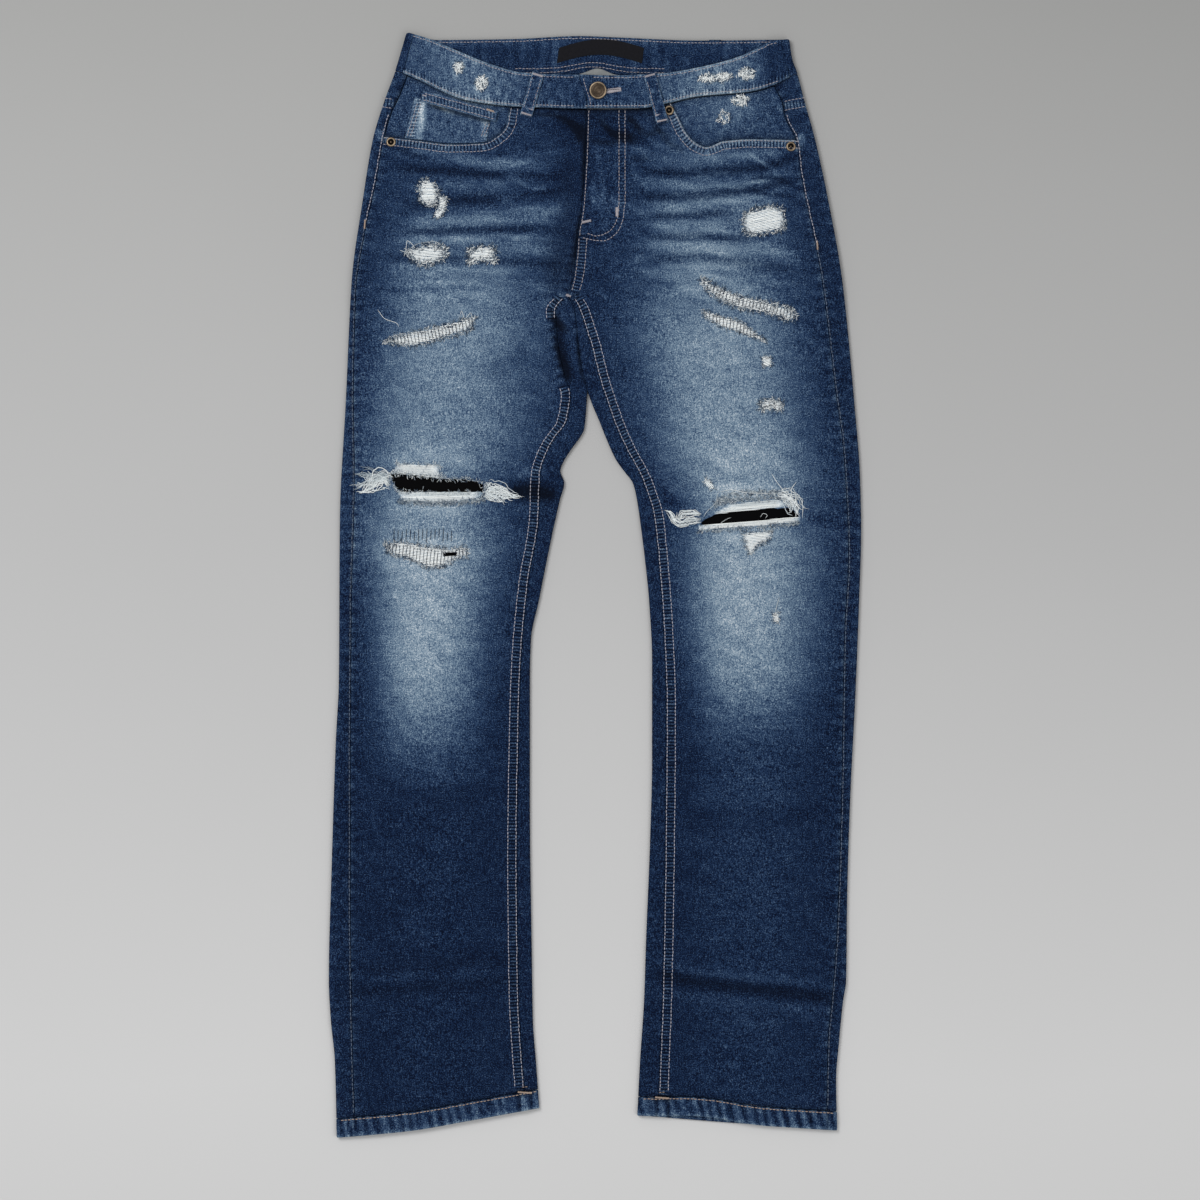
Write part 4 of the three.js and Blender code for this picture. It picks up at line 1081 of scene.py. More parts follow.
def turned_band(name, surface, out, thick, finish, wash, ring=False, painted_shade_at=None, pleat_at=None):
    """A band of turned cloth. surface(v) gives its outside from one edge to the other, out its normal."""
    rows = [surface(v) + out * (h * thick) for v, h in PROFILE]
    points = np.stack(rows)
    quads = grid_quads(len(rows), points.shape[1], ring=ring, loop=True)
    if not ring:
        size = points.shape[1]
        n = len(rows)
        half = n // 2
        ends = []
        for column in (0, size - 1):
            for k in range(half):
                a, b = k, k + 1
                c, e = (n - 1 - k) % n, (n - k) % n
                ends.append([i * size + column for i in (a, b, c, e)])
        quads = np.concatenate([quads, np.array(ends)])
    x, y = points[..., 0], points[..., 1]
    carried = {"wash": wash(x, y, points[..., 2]), "dirt": painted_shade_at(x, y) if painted_shade_at else 0 * x}
    carried |= {"run": x, "pleat": pleat_at(x, y) if pleat_at else 0 * x}
    points_flat = points.reshape(-1, 3)
    return mesh_of(name, points_flat, whole(points_flat, quads), finish, carried)


def band_surface(start, end, height, count, peak=0):
    """A front waistband piece between two edges: its outside at a share v of its height."""

    def surface(v):
        u = np.linspace(0, 1, count)
        y = np.full(count, 490.0)
        for _ in range(6):
            x = start(y) + (end(y) - start(y)) * u
            low = waist_seam(x) + GAP / 2
            y = low + (front_top(x) + peak * np.exp(-(((x - 3) / 13) ** 2)) - low) * v
        return np.stack([x, y, height(x, y)], axis=-1)

    return surface


def band_end(y):
    return -7.5 - 8 * smooth(478, 510, y)


def end_rise(x):
    return END_RISE * (1 - smooth(48, 80, x))


def side_of(leg):
    return lambda y: leg.outer(y) + leg.inward * (8 + GAP)


UP = np.array([0, 0, 1.0])


def band_wash(x, y, z):
    low = y - waist_seam(x)
    high = front_top(x) - y
    wash = 0.2 + 0.2 * np.exp(-((x + 122) / 46) ** 2) + 0.24 * np.exp(-((x - 112) / 44) ** 2)
    wash -= 0.16 * np.exp(-((x - 180) / 14) ** 2)
    wash -= 0.07 * np.exp(-((x + 15) / 55) ** 2)
    wash += 0.26 * np.exp(-((low - 1.4) / 1.7) ** 2) + 0.2 * np.exp(-(high / 2.0) ** 2)
    wash += 0.07 * np.sin(x / 1.9 + 2 * rough(x, y, 40, 3)) * np.exp(-((low - 5) / 5) ** 2)
    return wash + 0.08 * rough(x, y * 1.5, 16, 44) + strokes(BARE, x, y)


def band_pleats(x, y):
    """The front band is gathered along both of its stitched edges."""
    low, high = y - waist_seam(x), front_top(x) - y
    return 0.85 * np.exp(-(((low - 3.8) / 2.6) ** 4)) + 0.45 * np.exp(-(((high - 2.6) / 1.8) ** 4))


def band_painted_shade(x, y):
    # Painted shadow line along the band's lower edge, at the waist seam.
    return 0.35 * np.exp(-(((y - waist_seam(x)) / 1.6) ** 2)) + 0 * x


def left_band_at(x, y):
    return band_at(x, y) + end_rise(x)


made = turned_band("waistband_right", band_surface(side_of(right), lambda y: band_end(y) - GAP, band_at, 90), UP,
                   BAND, denim, band_wash, painted_shade_at=band_painted_shade, pleat_at=band_pleats)
stand_for(made, "denim", "waistband_front_right")
made = turned_band("waistband_left", band_surface(side_of(left), band_end, left_band_at, 100), UP, BAND, denim,
                   band_wash, painted_shade_at=band_painted_shade, pleat_at=band_pleats)
stand_for(made, "denim", "waistband_front_left")
made = turned_band("waistband_underlap_facing", band_surface(lambda y: band_end(y) + GAP, lambda y: 44 + 0 * y, band_at, 40, 7),
                   UP, BAND, grey_cloth, band_wash)
stand_for(made, "band_facing", "waistband_underlap")


def back_band():
    """The back of the waistband, from one front end round both sides to the other, inside upwards."""

    def surface_of(leg):
        d = leg.inward

        def surface(v):
            def bend_top(row, x):
                return waist_seam(x) + GAP / 2 + (front_top(x) - waist_seam(x) - GAP / 2) * row

            def bend_low(row, x):
                return back_seam(x) + GAP / 2 + (back_top(x) - back_seam(x) - GAP / 2) * row

            def from_edge(y):
                return leg.outseam(y) - leg.outer(y) - 8 * d

            rows = np.array([v])
            start = SimpleNamespace(**{**vars(leg), "outseam": lambda y: leg.outer(y) + 8 * d})
            return wrap(start, rows, bend_top, bend_low, band_at, False, (5, 8, 60, 0, 0), margin=0)[0]

        return surface

    first, second = surface_of(right), surface_of(left)

    def surface(v):
        return np.concatenate([first(v)[:-1], second(v)[:-1][::-1]])

    mid = surface(0.5)
    along = np.gradient(mid, axis=0)
    out = np.cross(along, [0, 1, 0])
    out /= np.linalg.norm(out, axis=1, keepdims=True)
    out = np.where((out[:, 2:] * 0 + 1) > 0, out, out)
    if out[0, 2] < 0:
        out = -out

    def wash(x, y, z):
        high = back_top(x) - y
        wash = 0.06 + 0.12 * np.exp(-(high / 3) ** 2) + 0.14 * np.clip(rough(4 * x, 0.4 * y, 60, 51), 0, 1)
        return wash + 0.06 * rough(x, y, 20, 52)

    made = turned_band("waistband_back_inside", surface, out, BAND, denim, wash)
    stand_for(made, "denim", "waistband_back")


back_band()


def hem(leg):
    d = leg.inward
    count = 84

    def height(x, y):
        return top_at(x, np.maximum(y, leg.low + 12)) + 0.4

    def ring(v):
        row = np.array([leg.low + (HEM_HEIGHT - 2 * GAP) * v])
        edge_y = float(across(row, leg.outer, leg.inner, np.array([0.0]), tilt(leg))[1][0, 0])
        r = float(height(leg.outer(edge_y), edge_y)) / 2

        def low(y):
            return leg.outer(y) + d * r

        def high(y):
            return leg.inner(y) - d * r

        t = np.linspace(0, 1, count)
        x, y = across(row, low, high, t, tilt(leg))
        ease = smooth(0, 0.06, t) * smooth(0, 0.06, 1 - t)
        z = 2 * r + (height(x, y) - 2 * r) * ease
        top = np.stack([x[0], y[0], z[0]], axis=-1)
        x, y = across(row, high, low, t, tilt(leg, "low"))
        floor = np.stack([x[0], y[0], 0 * x[0]], axis=-1)
        turn = np.linspace(0, np.pi, 9)[1:-1]

        def round_edge(a, b, sign):
            share_ = (turn / np.pi)[:, None]
            p = a + (b - a) * share_
            p[:, 0] = a[0] + sign * d * np.sin(turn) * r
            p[:, 2] = r + np.cos(turn) * r
            return p

        first = round_edge(top[-1], floor[0], 1)
        last = round_edge(floor[-1], top[0], -1)
        last[:, 2] = r - np.cos(turn) * r
        return np.concatenate([top, first, floor, last])

    mid = ring(0.5)
    along = np.roll(mid, -1, axis=0) - np.roll(mid, 1, axis=0)
    out = np.cross(along * [1, 0, 1], [0, 1, 0]) * -d
    out /= np.linalg.norm(out, axis=1, keepdims=True) + 1e-9
    if out[count // 2, 2] < 0:
        out = -out

    seam_x = float(leg.inseam(leg.low)) - 5 * d

    def pucker(x, y):
        beat = np.sin(2 * np.pi * x / 10.5 + 0.16 * y + 2.0 * rough(x, 0 * y, 60, 60))
        return beat * (0.6 + 0.4 * rough(x, 0 * y, 33, 62))

    def surface(v):
        p = ring(v)
        rise = 0.26 * pucker(p[:, 0], p[:, 1]) * np.sin(np.pi * v)
        rise = rise + 0.5 * np.exp(-(((p[:, 0] - seam_x) / 5.5) ** 4))
        return p + out * rise[:, None]

    def wash(x, y, z):
        edge = np.exp(-((y - tilt(leg)(leg.low, x)) / 2.6) ** 2)
        stitched = np.exp(-((y - tilt(leg)(leg.low + HEM_HEIGHT, x)) / 2.5) ** 2)
        felled = np.exp(-(((x - seam_x) / 5) ** 4))
        block = np.tanh(2.2 * pucker(x, y) + 0.8 * rough(x, 0 * y, 17, 64))
        total = 0.14 + 0.15 * block + 0.26 * edge + 0.08 * stitched + 0.12 * felled
        return total + 0.07 * rough(x, y, 9, 61) + 0.05 * rough(x, 0.3 * y, 5, 63)

    # Painted shade on the hem: in the troughs of its puckers, beside the felled seam and the side seam, above its
    # stitched row and where the seams join it.
    def hem_painted_shade(x, y):
        beside_seam = np.exp(-(((np.abs(x - seam_x) - 6) / 1.3) ** 2))
        at_side = np.exp(-(((x - float(leg.outseam(leg.low)) + d) / 1.3) ** 2))
        above_row = np.exp(-(((y - tilt(leg)(leg.low + HEM_HEIGHT, x)) / 1.3) ** 2))
        join = np.exp(-(((x - seam_x) / 11) ** 4)) * smooth(12, 17, y - tilt(leg)(leg.low, x))
        shade = 0.55 * np.clip(-pucker(x, y) - 0.2, 0, 1) + 0.6 * beside_seam + 0.5 * at_side
        return np.clip(shade + 0.6 * above_row + 0.6 * join, 0, 1)

    made = turned_band(f"hem_turned_{leg.name}", surface, out, BAND, denim, wash, ring=True, painted_shade_at=hem_painted_shade)
    stand_for(made, "denim", f"hem_{leg.name}")
    round_size = 2 * abs(float(leg.outer(leg.low) - leg.inner(leg.low))) * MM + 0.008


hem(right)
hem(left)


# ------------------------------------------------------------------ pockets, loops and label
def laid_sheet(name, x, y, z, finish, wash, shade=None, gathers=None):
    """A single layer of cloth with its edges turned down; gathers is its (run, pleat)."""
    z = z.copy()
    for edge in (np.s_[0], np.s_[-1], np.s_[:, 0], np.s_[:, -1]):
        z[edge] -= 0.5
    points = np.stack([x, y, z], axis=-1)
    run, pleat = gathers or (0 * x, 0 * x)
    carried = {"wash": wash, "dirt": 0 * x if shade is None else shade, "run": run, "pleat": pleat}
    return mesh_of(name, points, grid_quads(*x.shape), finish, carried)


def facing_at(x, y):
    """The pocket facing, one layer under the front and a little slack."""
    return cloth_at(x, y) - DENIM - 0.35 + 0.25 * rough(x, y, 24, 71)


def pocket_facing(leg):
    d = leg.inward
    lip = through(*leg.mouth[:-1])
    end_x = leg.mouth[-1][0] + d * 12
    y = np.full((40, 62), 470.0)
    u, v = np.linspace(0, 1, 62)[None, :], np.linspace(0, 1, 40)[:, None]
    for _ in range(6):
        seam = leg.outseam(y) + d * 0.6
        x = seam + (end_x - seam) * u
        low = lip(x) - 12
        y = low + (waist_seam(x) - 1 - low) * v
    hollow = np.exp(-(((x + d * 140) / 40) ** 2)) * 0.3
    wash = 0.18 + 0.2 * np.exp(-(((x + d * 130) / 34) ** 2) - ((y - 474) / 20) ** 2) + 0.06 * rough(x, y, 12, 72)
    wash += strokes(BARE, x, y)
    mouth = through(*leg.mouth)(x)
    # Painted shadow under the pocket mouth's lip and along the waist seam.
    shade = np.clip(0.75 * np.exp(-np.clip(y - mouth, 0, 99) / 3.5) + 0.3 * smooth(8, 0, waist_seam(x) - y), 0, 1)
    made = laid_sheet(f"pocket_facing_cloth_{leg.name}", x, y, facing_at(x, y) - hollow * 0.4, denim, wash, shade)
    stand_for(made, "denim", f"pocket_facing_{leg.name}")


def coin_at(x, y):
    """The coin pocket: it bags open under its hemmed top, more so at its outer corner."""
    bag = 0.9 * np.exp(-(((x + 172) / 9) ** 2) - ((y - 466) / 12) ** 2)
    bag += 0.7 * np.exp(-(((x + 150) / 22) ** 2) - ((y - 472) / 7) ** 2)
    return cloth_at(x, y) - 0.05 + bag + 0.15 * rough(x, y, 15, 74)


def coin_band_low(x):
    return 481.5 - 0.27 * (x + 169)


def coin_pocket():
    u, v = np.linspace(0, 1, 44)[None, :], np.linspace(0, 1, 30)[:, None]
    lip = through(*right.mouth[:-1])
    y = np.full((30, 44), 465.0)
    for _ in range(5):
        up = share(y, 445, 490)
        x = (-190 + 11 * up) + (82 - 3 * up) * u
        low = lip(x) + 0.8
        y = low + (coin_band_low(x) + 3 - low) * v
    wash = 0.27 + 0.07 * rough(x, y, 14, 75) + strokes(BARE, x, y)
    wash += 0.3 * np.exp(-(((x + 174 - 0.1 * (y - 460)) / 3) ** 2)) * smooth(492, 470, y)
    wash += 0.16 * np.exp(-((x + 109 + 0.1 * (y - 445)) / 2.5) ** 2)
    under_band = coin_band_low(x) - y
    wash += 0.14 * smooth(13, 8, x + 190 - 0.3 * (y - 445))
    wash += strokes([([(-171, 489), (-162, 481), (-153, 477), (-146, 472), (-136, 470)], 1.7, 0.45)], x, y)
    # Painted shadow under the coin pocket's hemmed top.
    shade = 0.85 * np.exp(-(((under_band - 1.5) / 2.6) ** 2)) * smooth(-172, -160, x)
    shade += strokes([([(-166, 484), (-158, 480), (-148, 475)], 2.2, 0.7)], x, y)
    left_side = np.exp(-(((x + 184.5 - 0.25 * (y - 445)) / 4) ** 4))
    pleat = 0.8 * left_side + 0.5 * np.exp(-(((x + 109.5 - 0.2 * (y - 445)) / 2.6) ** 4))
    made = laid_sheet("coin_pocket_cloth", x, y, coin_at(x, y), denim, wash, np.clip(shade, 0, 1), (y, pleat))
    stand_for(made, "denim", "coin_pocket")

    def surface(w):
        x = np.linspace(-174, -99.5, 40)
        low = coin_band_low(x)
        y = low + (10.5 + 0.8 * np.sin((x + 174) / 12)) * w
        return np.stack([x + 0.25 * (y - low), y, cloth_at(x, y) + 1.5 + 0.5 * np.sin(np.pi * w)], axis=-1)

    def band(x, y, z):
        up = (y - coin_band_low(x)) / 10.5
        edges = np.exp(-(((np.abs(up - 0.5) - 0.5) / 0.12) ** 2))
        return 0.24 + 0.16 * edges + 0.07 * rough(x, y, 12, 76)

    def band_pleat(x, y):
        up = (y - coin_band_low(x)) / 10.5
        return 0.7 * np.exp(-(((up - 0.5) / 0.33) ** 4))

    top = turned_band("coin_pocket_hem", surface, UP, 1.3, denim, band, pleat_at=band_pleat)


for leg in LEGS:
    pocket_facing(leg)
coin_pocket()


def loop(name, node, top, bottom, height, wash_from=0.3):
    """A belt loop: a narrow folded strip, turned under at both ends; its bars are sewn with the topstitching."""
    top, bottom = np.array(top), np.array(bottom)
    run = top - bottom
    side = np.array([run[1], -run[0]]) / np.hypot(*run) * LOOP_WIDTH / 2
    t = np.linspace(0, 1, 30)
    rise = 1.7 * smooth(-0.02, 0.12, t) * smooth(-0.02, 0.12, 1 - t) + 0.5
    rise += 0.7 * np.exp(-(((t - 0.1) / 0.06) ** 2))

    def surface(w):
        spot = bottom + run * t[:, None] + side * (2 * w - 1)
        z = height(bottom[0] + run[0] * t, bottom[1] + run[1] * t) + rise + 0.35 * np.sin(np.pi * w)
        z = z + 0.15 * np.sin(t * 40 + 6 * w)
        return np.stack([spot[:, 0], spot[:, 1], z], axis=-1)

    def wash(x, y, z):
        across_ = ((x - bottom[0]) * side[0] + (y - bottom[1]) * side[1]) / (side @ side)
        edge = np.exp(-(((np.abs(across_) - 0.95) / 0.16) ** 2))
        return wash_from - 0.1 + 0.26 * edge + 0.1 * rough(x, y, 9, 81) + 0.05 * np.sin(y * 1.1)

    made = turned_band(name, surface, UP, 1.4, denim, wash)
    stand_for(made, "denim", node)
    return made


def over_band(x, y):
    on_left = np.where(x > 0, end_rise(x), 0)
    return band_at(x, y) + on_left


loop("belt_loop_right", "belt_loop_front_right", (-56.5, 511), (-69, 468), over_band)
loop("belt_loop_left", "belt_loop_front_left", (54, 510.5), (67.5, 461), over_band, 0.24)


def under_loop(name, node, x):
    """A belt loop under the back of the waistband."""

    def surface(w):
        y = np.linspace(502.5, 545.5, 24)
        return np.stack([x + LOOP_WIDTH * (w - 0.5) + 0 * y, y, 0.1 + 0.1 * np.sin(y)], axis=-1)

    made = turned_band(name, surface, -UP, 1.0, denim, lambda x, y, z: 0.3 + 0.1 * rough(x, y, 9, 82))
    stand_for(made, "denim", node)


under_loop("belt_loop_under_right", "belt_loop_back_right", -128)
under_loop("belt_loop_under_middle", "belt_loop_back", -4)
under_loop("belt_loop_under_left", "belt_loop_back_left", 120)


def back_pocket(leg):
    """A five-sided patch pocket under the seat."""
    mid = -leg.inward * 98
    u, v = np.linspace(-1, 1, 60)[None, :], np.linspace(0, 1, 60)[:, None]
    half = 68 + 8 * v
    low = 302 + 27 * np.abs(u)
    x, y = mid + half * u + 0 * v, low + (440 - low) * v
    edge = np.minimum(np.minimum(1 - np.abs(u) + 0 * v, v), 1 - v + 0 * u) * 70
    z = 0.05 + 0.12 * (1 - smooth(0, 6, edge)) + 0.05 * np.abs(rough(x, y, 22, 84))
    wash = 0.3 + 0.16 * np.exp(-(edge / 2.5) ** 2) + 0.08 * rough(x, y, 18, 85) + 0.14 * np.sin(np.pi * v) * np.cos(u)
    points = np.stack([x, y, z], axis=-1)
    made = mesh_of(f"back_pocket_cloth_{leg.name}", points, grid_quads(*x.shape)[:, ::-1], denim,
                   {"wash": wash, "dirt": 0 * x})
    stand_for(made, "denim", f"back_pocket_{leg.name}")


for leg in LEGS:
    back_pocket(leg)


def label():
    """The bare woven label inside the back of the waistband."""
    u, v = np.linspace(0, 1, 60)[None, :], np.linspace(0, 1, 14)[:, None]
    x = -38 + 85 * u + 2 * v
    y = 521.5 + 8.5 * np.sin(np.pi * u) + 15.5 * v
    z = SEAT_LIFT + BAND + 0.9 + 0.5 * np.sin(np.pi * u) * (0.4 + 0.6 * v) + 0.1 * rough(x, y, 20, 87)
    made = laid_sheet("woven_label_bare", x, y, z, label_cloth, 0 * x)
    stand_for(made, "label", "waist_label")


label()


# ------------------------------------------------------------------ button and rivets
def turned_metal(name, node, at, z, profile, rub_at=None, tilt_by=0.0, sides=48):
    """A round metal piece turned from a profile of (radius, height); rub_at is how bright each radius is."""
    angle = np.linspace(0, 2 * np.pi, sides, endpoint=False)
    r, h = np.array(profile).T
    x = r[:, None] * np.cos(angle)
    y = r[:, None] * np.sin(angle)
    z_ = h[:, None] + 0 * angle
    c, s = math.cos(tilt_by), math.sin(tilt_by)
    points = np.stack([x + at[0], y * c - z_ * s + at[1], y * s + z_ * c + z], axis=-1)
    rub = (rub_at(r)[:, None] if rub_at else 0.5) + 0 * x
    made = mesh_of(name, points, whole(points, grid_quads(len(r), sides, ring=True)), brass, {"rub": rub})
    return stand_for(made, "brass", node)


button_at = (3, 493.5)
button_z = float(left_band_at(np.array(button_at[0]), np.array(button_at[1]))) + 0.6
turned_metal("shank_button", "button", button_at, button_z + 0.5, [
    (0.01, 0), (4, 0), (4, 1.5), (7.9, 1.5), (8.5, 2.0), (8.6, 2.5), (8.3, 3.0), (7.6, 3.25), (7.0, 3.0),
    (6.6, 2.75), (6.1, 2.8), (5.8, 3.0), (5.4, 3.0), (5.1, 2.8), (3.2, 2.85), (2.9, 3.05), (2.5, 3.05),
    (2.2, 2.85), (0.01, 2.95)], through((0, 0.5), (3, 0.35), (5.2, 0.3), (6.6, 0.35), (7.6, 0.95), (8.6, 0.6)),
    tilt_by=0.2)
for name, node, at in (("rivet_cap_right", "rivet_right", (-203.5, 442.5)),
                       ("rivet_cap_left", "rivet_left", (195.5, 438)),
                       ("rivet_cap_inner", "rivet_left_inner", (74, 474))):
    turned_metal(name, node, at, float(top_at(np.array(at[0]), np.array(at[1]))) + 0.35, [
        (4.9, -0.4), (4.9, 0.2), (4.4, 1.0), (3.5, 1.3), (2.8, 1.0), (2.3, 0.0), (1.7, -0.1), (1.3, 0.5),
        (0.7, 0.8), (0.01, 0.85)], through((0, 0.55), (0.9, 0.4), (1.4, -0.6), (2.4, -0.6), (3.0, 0.5), (3.9, 1.0),
                                           (4.9, 0.55)))


# ------------------------------------------------------------------ threads
def tubes(paths, radius, sides=3, taper=0.25):
    """Thin strands as (points, faces): paths is (strands, points, 3)."""
    n, k, _ = paths.shape
    along = np.gradient(paths, axis=1)
    along /= np.linalg.norm(along, axis=2, keepdims=True) + 1e-9
    side = np.cross(along, [0, 0, 1.0])
    side += (np.linalg.norm(side, axis=2, keepdims=True) < 1e-3) * np.array([1.0, 0, 0])
    side /= np.linalg.norm(side, axis=2, keepdims=True)
    up = np.cross(side, along)
    angle = np.linspace(0, 2 * np.pi, sides, endpoint=False)
    thin = np.interp(np.linspace(0, 1, k), [0, 0.12, 0.88, 1], [taper, 1, 1, taper])
    r = (np.broadcast_to(np.asarray(radius, float).reshape(-1, 1), (n, k)) * thin)[..., None, None]
    ring = side[:, :, None] * np.cos(angle)[:, None] + up[:, :, None] * np.sin(angle)[:, None]
    points = paths[:, :, None] + ring * r
    one = grid_quads(k, sides, ring=True)
    quads = (np.arange(n)[:, None, None] * (k * sides) + one[None]).reshape(-1, 4)
    return points.reshape(-1, 3), quads


class Skein:
    """Strands gathered into one piece, each with a number that its finish reads."""

    def __init__(self):
        self.points = []
        self.quads = []
        self.blue = []
        self.count = 0

    def add(self, paths, radius, blue=0.0, sides=3, taper=0.25):
        points, quads = tubes(np.asarray(paths, float), radius, sides, taper)
        each = len(points) // len(paths)
        self.points.append(points)
        self.quads.append(quads + self.count)
        self.blue.append(np.repeat(np.broadcast_to(blue, len(paths)), each))
        self.count += len(points)

    def make(self, name, finish, slot="denim"):
        blue = np.concatenate(self.blue)
        made = mesh_of(name, np.concatenate(self.points), np.concatenate(self.quads), finish, {"blue": blue})
        return made


def topstitch(skein, points, height, up=1.0, pitch=STITCH, width=0.36, wander=0.14):
    """A row of topstitching along a line of corners, sunk at each stitch's ends."""
    line = evenly(points, 0.8)
    run = np.concatenate([[0], np.cumsum(np.hypot(*np.diff(line, axis=0).T))])
    count = max(1, int(run[-1] / pitch))
    start = (np.arange(count)[:, None] + 0.09) * pitch
    at = start + np.array([0, 0.26, 0.52, 0.78]) * pitch
    x = np.interp(at, run, line[:, 0]) + rng.normal(0, wander, (count, 1))
    y = np.interp(at, run, line[:, 1]) + rng.normal(0, wander, (count, 1))
    z = height(x, y) + up * np.array([-0.05, 0.34, 0.34, -0.05])
    skein.add(np.stack([x, y, z], axis=-1), width, sides=4, taper=0.45)


def bartack(skein, first, last, height, wide=3.2, up=1.0, count=None):
    """A dense bar of thread across a line from first to last."""
    first, last = np.array(first, float), np.array(last, float)
    run = last - first
    length = np.hypot(*run)
    count = count or int(length / 0.75)
    side = np.array([-run[1], run[0]]) / length * wide / 2
    t = (np.arange(count)[:, None] + 0.5) / count
    across_ = np.linspace(-1, 1, 4)[None, :] * (1 + rng.normal(0, 0.08, (count, 1)))
    x = first[0] + run[0] * t + side[0] * across_
    y = first[1] + run[1] * t + side[1] * across_
    z = height(x, y) + up * np.array([0.05, 0.55, 0.55, 0.05])
    skein.add(np.stack([x, y, z], axis=-1), 0.42, sides=4, taper=0.6)


def shifted(curve, y_from, y_to, shift, pitch=8):
    return line_of(curve, y_from, y_to, shift, pitch)


def across_line(curve, x_from, x_to, shift, pitch=6):
    x = np.linspace(x_from, x_to, max(2, int(abs(x_to - x_from) / pitch)))
    return list(zip(x, curve(x) + shift))


def beside(points, shift):
    """A line kept at a distance to the left of another."""
    p = evenly(points, 4)
    lean = np.gradient(p, axis=0)
    lean /= np.linalg.norm(lean, axis=1, keepdims=True)
    return list(map(tuple, p + shift * np.stack([-lean[:, 1], lean[:, 0]], axis=1)))


def seat_under(x, y):
    return lift(y) + 0.2 + 0 * x


def topstitching():
    tan, grey, orange, faint = Skein(), Skein(), Skein(), Skein()

    def front(x, y):
        ridge = sum(seam_relief(leg, x, y) * ((x < centre_front(y)) == (leg.inward > 0)) for leg in LEGS)
        return top_at(x, y) + ridge

    for leg in LEGS:
        d = leg.inward
        hem_top = float(tilt(leg)(leg.low + HEM_HEIGHT, leg.inseam(leg.low))) + 2
        spans = ((CROTCH - 2, 264), (197, hem_top)) if d > 0 else ((CROTCH - 2, hem_top),)
        for shift in (-1.5, -9.6):
            for high, low in spans:
                topstitch(grey, shifted(leg.inseam, high, low, shift * d, 4), front, pitch=3.7, width=0.42)
        bar_y = 361 if d > 0 else 340
        topstitch(grey, shifted(leg.outseam, 470, bar_y, -1.6 * d), front, width=0.4)
        topstitch(faint, shifted(leg.outseam, bar_y, leg.low + 24, -1.2 * d), front, pitch=4.4, width=0.4)
        bar_x = float(leg.outseam(bar_y)) - 1.6 * d
        bartack(orange, (bar_x, bar_y + 4), (bar_x - 0.6 * d, bar_y - 5), front, 1.5)
        mouth = leg.mouth if d > 0 else leg.mouth
        for shift in (1.6, 8.2):
            topstitch(tan, beside(mouth, -shift * d), front)
        hem_line = [(x, float(tilt(leg)(leg.low + HEM_HEIGHT, x)) - 2.2)
                    for x in np.linspace(leg.outer(leg.low) + 4 * d, leg.inner(leg.low) - 4 * d, 30)]
        topstitch(orange, hem_line, lambda x, y: top_at(x, y) + 0.7, pitch=3.6, width=0.44)
        low_x = float(leg.inseam(leg.low)) - 5 * d
        low_y = float(tilt(leg)(leg.low + HEM_HEIGHT, low_x)) + 0.5
        bartack(orange, (low_x - 7, low_y - 1), (low_x + 7, low_y - 2), lambda x, y: top_at(x, y) + 1.0, 1.6)
        zigzag = [(low_x + k, low_y + (4 if k % 4 else -1)) for k in range(-3, 6, 2)]
        topstitch(orange, zigzag, lambda x, y: top_at(x, y) + 1.2, pitch=3.0, width=0.3)
    for low in (0, 9):
        topstitch(tan, [(-213, 478 + low), (-201, 476 + low)], front, width=0.34)
        topstitch(tan, [(189, 474 + low), (199, 476 + low), (210, 478 + low)], front, width=0.34)
    for shift in (2.2, 10.0):
        topstitch(tan, shifted(centre_front, 346, 292, shift), front)
    topstitch(tan, shifted(centre_front, 474, 346, 2.2), front)
    curve = [(30, 474), (30, 400), (30, 384), (29, 375), (27, 362), (20, 350), (7, 343.5), (-6, 345.5), (-15, 347)]
    topstitch(tan, curve, front)
    topstitch(tan, [(24, 474), (24, 400), (24, 384), (22, 366), (14, 353), (1, 348.5), (-8, 351)], front)
    bartack(tan, (22, 377), (22, 368), front, 3.0)
    bartack(tan, (-13, 362), (-4, 364), front, 2.4)
    bartack(tan, (-29, 290), (-24, 288.5), front, 2.2)

    bands = ((right, band_at, -192, -16), (left, left_band_at, -12, 187))
    for leg, height, x_from, x_to in bands:
        topstitch(tan, across_line(waist_seam, x_from + 2, x_to - 3, 2.6), height)
        topstitch(tan, across_line(front_top, x_from + 10, x_to - 4, -2.6), height)
    topstitch(tan, shifted(band_end, 479, 506, 3.2, 4), left_band_at)
    topstitch(tan, across_line(back_top, -180, 186, -2.6), lambda x, y: SEAT_LIFT + BAND + 0 * x)

    def lining(x, y):
        return SEAT_LIFT + BAND + 0.05 + 0 * x

    for shift in (0, 4.2):
        row = [(x, 512 + shift + 6 * math.exp(-((x + 2) / 26) ** 2)) for x in np.linspace(-80, 70, 30)]
        topstitch(tan, row, lining)

    corners = [(-169, 483), (-99.5, 464.5)]
    for low in (2.0, 8.4):
        row = [(x + 0.25 * low, coin_band_low(x) + low) for x in np.linspace(-172, -101, 14)]
        topstitch(tan, row, lambda x, y: cloth_at(x, y) + 1.9, width=0.36)
    for x_low, x_high in ((-187.5, -177), (-184, -173.5), (-113.5, -107.5), (-110.5, -104.5)):
        topstitch(tan, [(x_low, 448), (x_high, coin_band_low(x_high) - 1)], coin_at, width=0.36)
    bartack(orange, (-108, 475), (-101, 472.5), lambda x, y: cloth_at(x, y) + 2.0, 1.6)
    bartack(tan, (-172, 489), (-168, 488), lambda x, y: cloth_at(x, y) + 1.6, 1.4)
    del corners

    for top, bottom, side in (((-56.5, 511), (-69, 468), 0), ((54, 510.5), (67.5, 461), 1)):
        run = np.array(top) - np.array(bottom)
        out = np.array([run[1], -run[0]]) / np.hypot(*run)

